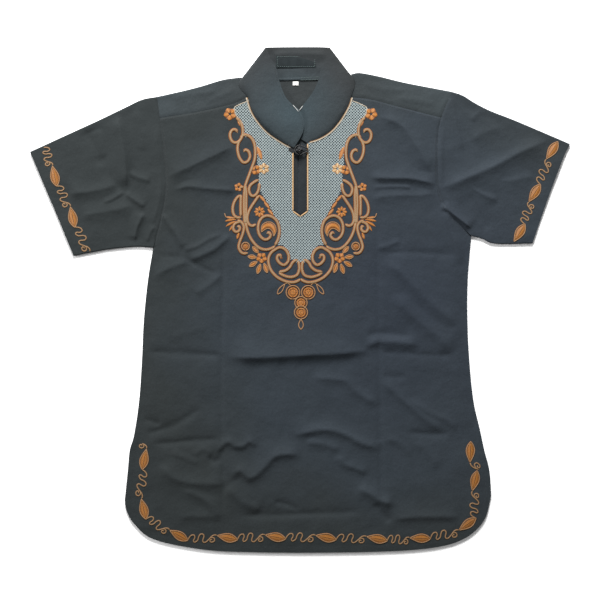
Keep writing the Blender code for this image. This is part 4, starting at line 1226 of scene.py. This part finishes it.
# %% Piping
# The right side of the slit's piping stops at the tack. A darker cord runs beside the neckline's
TACK_Y = 235.0
EDGE_CORD_GAP = 1.4
slit_lines, neck_lines = [], []
for cut in SIDES:
    lower, upright, rim = neck_edge(cut)
    if cut is RIGHT:
        upright[1, 1] = min(upright[1, 1], TACK_Y)
    slit_lines += [evenly(lower, spacing=2.0), evenly(upright, spacing=2.0)]
    neck_lines.append(rim)
net_edges = both_sides([(82.5, 318), (94, 313.5), (105.6, 308)])
net_edges += both_sides([(105.6, 308), (103.8, 296), (93.5, 283), (91.8, 268)])
edge_lines = [rim - outward(rim, NECK_MIDDLE) * EDGE_CORD_GAP for rim in neck_lines]
sewn_on("slit_piping", laid(slit_lines, 2.7, 1.3), cream_thread)
sewn_on("neck_piping", laid(neck_lines, 2.4, 1.2) + cords(net_edges, 1.8, 0.9), neck_thread)
sewn_on("neck_piping_edge", laid(edge_lines, 1.6, 0.9), fine_thread)

# %% [markdown]
# ## Borders of hem and cuffs
# A leaf with a pointed stem, then a wavy tendril that ends in a curl, over and over. The unit is drawn
# once, along a straight line, and set between each two leaves. Travel goes down the left of the picture,
# along the hem and up again, so that the curls lie on the side of the edge.

# %% Border unit
# Along the line and to its left, in mm, from the round end of one leaf to the pointed end of the next
TENDRIL = [
    (0, 0), (2.5, 4), (6, 7.2), (9.8, 7), (10.5, 3), (7.8, -2), (9.2, -4.6), (13.6, -2.2), (16, 3.2),
    (19, 6.6), (22.3, 6), (23.2, 2.2), (20.6, -3.6), (21.2, -7), (24.5, -7.2), (29.4, -3.6), (33.8, 0.3),
    (38, 1.6), (41.5, 0.1),
]
CURL = [
    (30.5, -2.6), (33.5, -1.6), (36.6, -3.4), (36.6, -7.2), (33.8, -9), (30.8, -8), (30.6, -5.4),
    (32.6, -4.6), (33.8, -6),
]
TENDRIL_LENGTH = 41.5
STEM_START = 29.4
SHORT_GAP = 24.0
LEAF_LENGTH = 33.0
LEAF_WIDTH = 13.2
LEAF_TILT = math.radians(11)


def framed(points, start, end, first=0.0):
    """Points along and to the left of a line, moved to the line from start to end; theirs runs from first."""
    points, way = np.array(points, float), unit(end - start)
    scale = np.linalg.norm(end - start) / (TENDRIL_LENGTH - first)
    return start + (points[:, :1] - first) * scale * way + points[:, 1:] * left_of(way)


def border(name, surface, centres, before=None, after=None):
    """Leaves, their outlines and the tendrils with their curls, along a row of leaf centres."""
    centres = np.array(centres, float)
    ways = unit(np.gradient(centres, axis=0))
    ways = ways * math.cos(LEAF_TILT) - left_of(ways) * math.sin(LEAF_TILT)
    starts, ends = centres - ways * LEAF_LENGTH / 2, centres + ways * LEAF_LENGTH / 2
    leaves = [leaf_edges(start, end, LEAF_WIDTH, tail=1.25, count=22) for start, end in zip(starts, ends)]
    gaps = list(zip(ends[:-1], starts[1:]))
    gaps = ([(np.array(before, float), starts[0])] if before else []) + gaps
    gaps += [(ends[-1], np.array(after, float))] if after else []
    vines = []
    for start, end in gaps:
        first = 0 if np.linalg.norm(end - start) > SHORT_GAP else STEM_START
        line = [point for point in TENDRIL if point[0] >= first]
        vines += [framed(line, start, end, first), framed(CURL, start, end, first)]
    sewn_on(name + "_leaves", [fill(*edges, surface=surface, rows=8) for edges in leaves], satin_thread)
    sewn_on(name + "_outlines", cords(map(round_both, leaves), 2.3, 1.0, surface), scroll_thread)
    sewn_on(name + "_tendrils", cords(vines, 2.7, 0.9, surface), fine_thread)


# %% Borders
HEM_LEAVES = [
    (-248.6, -254.4), (-249.6, -334.1), (-193.6, -376), (-116, -379.7), (-39.2, -378.4), (41.6, -379.5),
    (123.2, -381.3), (192, -380.6), (267.5, -358.1), (279, -289), (272, -243),
]
border("hem_border", front_height, HEM_LEAVES, before=(-249, -228))
border("right_cuff_border", RIGHT.sleeve_surface, [(-391.6, 197.6), (-363, 132.2)], before=(-409.5, 243.5),
       after=(-335.3, 77.2))
border("left_cuff_border", LEFT.sleeve_surface, [(350.4, 107.0), (374.6, 170.6), (402.5, 238.6)])

# %% [markdown]
# ## Knot and loop
# The slit closes with a ball knot in a loop, both of black cord. The knot's cord winds over a ball: its
# longitude runs three times round while its latitude swings four times up and down, and it dives under
# where it crosses. The far end of the loop is sewn down on the right of the slit with rows of black satin
# stitches.

# %% Knot
BUTTON = np.array((-0.8, 239.2, 7.6))
BUTTON_RADIUS = 5.6
BUTTON_HALF_HEIGHT = 4.6
KNOT_CORD = 2.3
KNOT_DIVE = 0.35
STRAND_TURN = 5.0


def tube(path, radius, closed=False, sides=10, strands=1):
    """Round cord on a space curve. With two strands it swells as |cos| of an angle that turns with length."""
    run = unit(np.roll(path, -1, 0) - np.roll(path, 1, 0) if closed else np.gradient(path, axis=0))
    across = unit(np.cross(run, path - BUTTON if closed else np.array([[0.02, 0.03, 1.0]])))
    over = np.cross(across, run)
    if closed:
        path, across, over = (np.vstack([part, part[:1]]) for part in (path, across, over))
    length = run_along(path)[:, None]
    angle = np.linspace(0, 2 * math.pi, sides + 1)[None]
    turned = np.abs(np.cos(angle - 2 * math.pi * length / STRAND_TURN))
    twist = turned if strands == 2 else np.ones_like(length)
    size = (radius * (0.86 + 0.14 * twist) * np.ones_like(angle))[..., None]
    cos, sin = np.cos(angle)[..., None], np.sin(angle)[..., None]
    return (path[:, None] + across[:, None] * size * cos + over[:, None] * size * sin,
            thread_map(length, angle / (2 * math.pi)))


def on_ball(latitude, longitude):
    """Unit vectors at a latitude and longitude: (cos cos, cos sin, sin)."""
    return np.stack([np.cos(latitude) * np.cos(longitude), np.cos(latitude) * np.sin(longitude),
                     np.sin(latitude)], -1)


t = np.linspace(0, 2 * math.pi, 160, endpoint=False)
squash = np.array([1, 1, BUTTON_HALF_HEIGHT / BUTTON_RADIUS])
reach = BUTTON_RADIUS - KNOT_CORD / 2 - KNOT_DIVE + KNOT_DIVE * np.cos(12 * t)
winding = BUTTON + on_ball(1.2 * np.sin(4 * t), 3 * t) * reach[:, None] * squash
v, u = np.mgrid[0:math.pi:13j, 0:2 * math.pi:25j]
core = BUTTON + on_ball(math.pi / 2 - v, u) * (BUTTON_RADIUS - 1.9) * squash
ball = [tube(winding, KNOT_CORD / 2, closed=True), (core, np.stack([u, v], -1) * 0.004)]
sewn_on("ball_knot", ball, knot_cord, "black_cord", "knot_button")

# %% Tack and loop
LOOP_CORD = 2.2
LOOP_TURN = 7.43
LOOP_Z, LOOP_END_Z = 6.9, 5.9
tack_lines = [np.array([(x, 248.0 - 0.16 * abs(x + 9)), (x - 1.2, 233.5 + 0.45 * abs(x + 9))])
              for x in np.arange(-17.0, -7.0, 1.3)]
sewn_on("black_tack", cords(tack_lines, 1.7, 1.1), black_thread)
angles = np.radians(np.linspace(62, 298, 40))
turn = raised(BUTTON[:2] + LOOP_TURN * headings(angles), LOOP_Z)
strands = np.array([(LOOP_TURN * 1.9, LOOP_CORD * 0.65, LOOP_END_Z),
                    (LOOP_TURN * 1.15, LOOP_CORD * 1.9, LOOP_Z)])
strands[:, :2] += BUTTON[:2]
route = np.vstack([strands, turn[::3], strands[::-1] * (1, -1, 1) + (0, 2 * BUTTON[1], 0)])
sewn_on("knot_loop", [tube(curve(route, spacing=0.5), LOOP_CORD / 2, strands=2)], knot_cord, "black_cord",
        "button_loop")

# %% [markdown]
# ## Stitches
# A row of stitches 3.4 mm apart runs in each seam of the front, another close beside it, and one along each
# hem. They are beads like those of the net. The row in each seam is black thread in the ditch that also
# stands for the seam's shadow, as a painted shadow line. The label's edging and the lines on the tape are in
# a greyer thread, and two short bright white strokes lie in a V on the collar where its flaps cross.

# %% Topstitching
STITCH_PITCH = 3.4
BESIDE_SEAM = 3.4
YOKE_END_Y = 284


def stitches(lines, surface=front_height, width=0.7, height=0.35):
    """Rows of stitches along plan lines."""
    return [bead for line in lines
            for bead in stitch_row(line, STITCH_PITCH, STITCH_PITCH * 0.78, width, height, surface)]


# The rows laid in the seams themselves are dark as a painted shadow of the seams' grooves, as well as
# stitches.
seams = [curve(line, spacing=4.0) for line in SEAMS]
rows = [seam[1:-1] for seam in seams]
rows += [seam[seam[:, 1] < YOKE_END_Y] - (cut.sign * BESIDE_SEAM, 0) for cut, seam in zip(SIDES, seams)]
rows += [seam[1:-1] - (0, BESIDE_SEAM) for seam in seams[2:]]
hem_row = hem_line - outward(hem_line, (0, -200)) * HEM_WIDTH
beads = stitches(rows + [hem_row])
for cut in SIDES:
    cuff_row = cut.sleeve[-1] - outward(cut.sleeve[-1], (0, 200)) * CUFF_HEM
    beads += stitches([cuff_row[4:-4]], cut.sleeve_surface)
sewn_on("topstitching", beads, black_thread)

# %% Stitches on collar, label and tape
LABEL_INSET = 2.0
WHITE_V_STROKES = (((-11.5, 311.2), (-2.4, 300.8)), ((-2.4, 300.8), (4.6, 310.2)))
FLAP_ROW_INSET = 2.6
collar_points = np.vstack([grid.reshape(-1, 3) for grid in collar_parts])


def collar_height(plan):
    """Height of the collar's nearest point."""
    gap = ((plan.reshape(-1, 1, 2) - collar_points[:, :2]) ** 2).sum(-1)
    return collar_points[gap.argmin(1), 2].reshape(plan.shape[:-1])


def label_height(plan):
    """Height of the label and the tape, the same all over them."""
    return np.full(plan.shape[:-1], TRIM_TOP)


# A row of black stitches along the over flap's free edge and end, dark so that it stands as a painted shadow
# line along that edge.
flap_rows = [curve(line, spacing=3.0) for line in (RIGHT.free_edge, RIGHT.flap_end)]
flap_rows = [line - outward(line, (-60, 320)) * FLAP_ROW_INSET for line in flap_rows]
sewn_on("collar_edge_stitches_and_painted_shadow", stitches(flap_rows, collar_height), black_thread)
(west, south), (east, north) = plan_box("neck_label") + np.array([[LABEL_INSET], [-LABEL_INSET]])
corners = [(west, south), (east, south), (east, north), (west, north), (west, south)]
label_rows = [np.linspace(a, b, 40) for a, b in zip(corners, corners[1:])]
tape_lines = [neck_line[neck_line[:, 0] > 0] + (0, shift) for shift in (1.9, -1.9)]
edging = stitches(label_rows, label_height, 1.1) + laid(tape_lines, 0.9, 0.4, label_height)
sewn_on("label_and_tape_edging", edging, label_thread)
# Two short bright white strokes in a V where the collar's flaps cross.
tack = [evenly(np.array(ends), 8) for ends in WHITE_V_STROKES]
sewn_on("white_v_on_the_collar", [cord_rings(raised(line, collar_height(line).max() + 0.2), 1.1, 0.6) for line in tack],
        white_v_material)

# %% [markdown]
# ## Studio
# The floor is a pale sheet just under the shirt. One big soft light hangs beyond the collar, so that each
# fold that runs across has a lit and a shaded flank. A weaker one stands low beside the right sleeve and
# brings out the folds that run up and down. The camera looks straight down.

# %% Stage, lights and camera
FRAME_WIDTH = 960.0
CAMERA_HEIGHT = 2000.0
FLOOR_DROP = 0.3
FLOOR_HALF = 3.0
ROOM_LIGHT = 0.36


def paper():
    """Pale matt paper with the faintest mottling."""
    made, tree = new_material("pale_paper_floor", roughness=0.95, specular=0.1)
    grain = noise(tree, coordinates(tree), 40.0, 2.0)
    return finished(made, ramp(tree, grain, (0.3, "#fafafa"), (0.7, "#ffffff")))


def soft_light(name, place, size, power):
    """Square area light that looks at the middle of the shirt."""
    lamp = bpy.data.lights.new(name, "AREA")
    lamp.energy = power
    lamp.size = size
    made = placed(name, lamp)
    made.location = place
    made.rotation_euler = (-made.location).to_track_quat("-Z", "Y").to_euler()
    print(name, power, "W,", size, "m wide")


floor_mesh = bpy.data.meshes.new("floor")
floor_mesh.from_pydata([(x * FLOOR_HALF, y * FLOOR_HALF, -FLOOR_DROP * MM)
                        for x, y in ((-1, -1), (1, -1), (1, 1), (-1, 1))], [], [(0, 1, 2, 3)])
floor_mesh.materials.append(paper())
floor = placed("floor", floor_mesh)

soft_light("window_above", (-0.05, 2.45, 1.3), 0.9, 214)
soft_light("window_at_the_side", (-2.3, 0.5, 0.9), 0.7, 42)
world = bpy.data.worlds.new("white_room")
world.use_nodes = True
background = world.node_tree.nodes["Background"].inputs
background["Color"].default_value = (1, 1, 1, 1)
background["Strength"].default_value = ROOM_LIGHT
scene.world = world
scene.view_settings.view_transform = "Standard"

lens = bpy.data.cameras.new("camera")
lens.sensor_width = 36.0
lens.lens = lens.sensor_width * CAMERA_HEIGHT / FRAME_WIDTH
camera = placed("camera", lens)
camera.location = (0, 0, CAMERA_HEIGHT * MM)
scene.camera = camera

# %% Finish
bpy.context.view_layer.update()
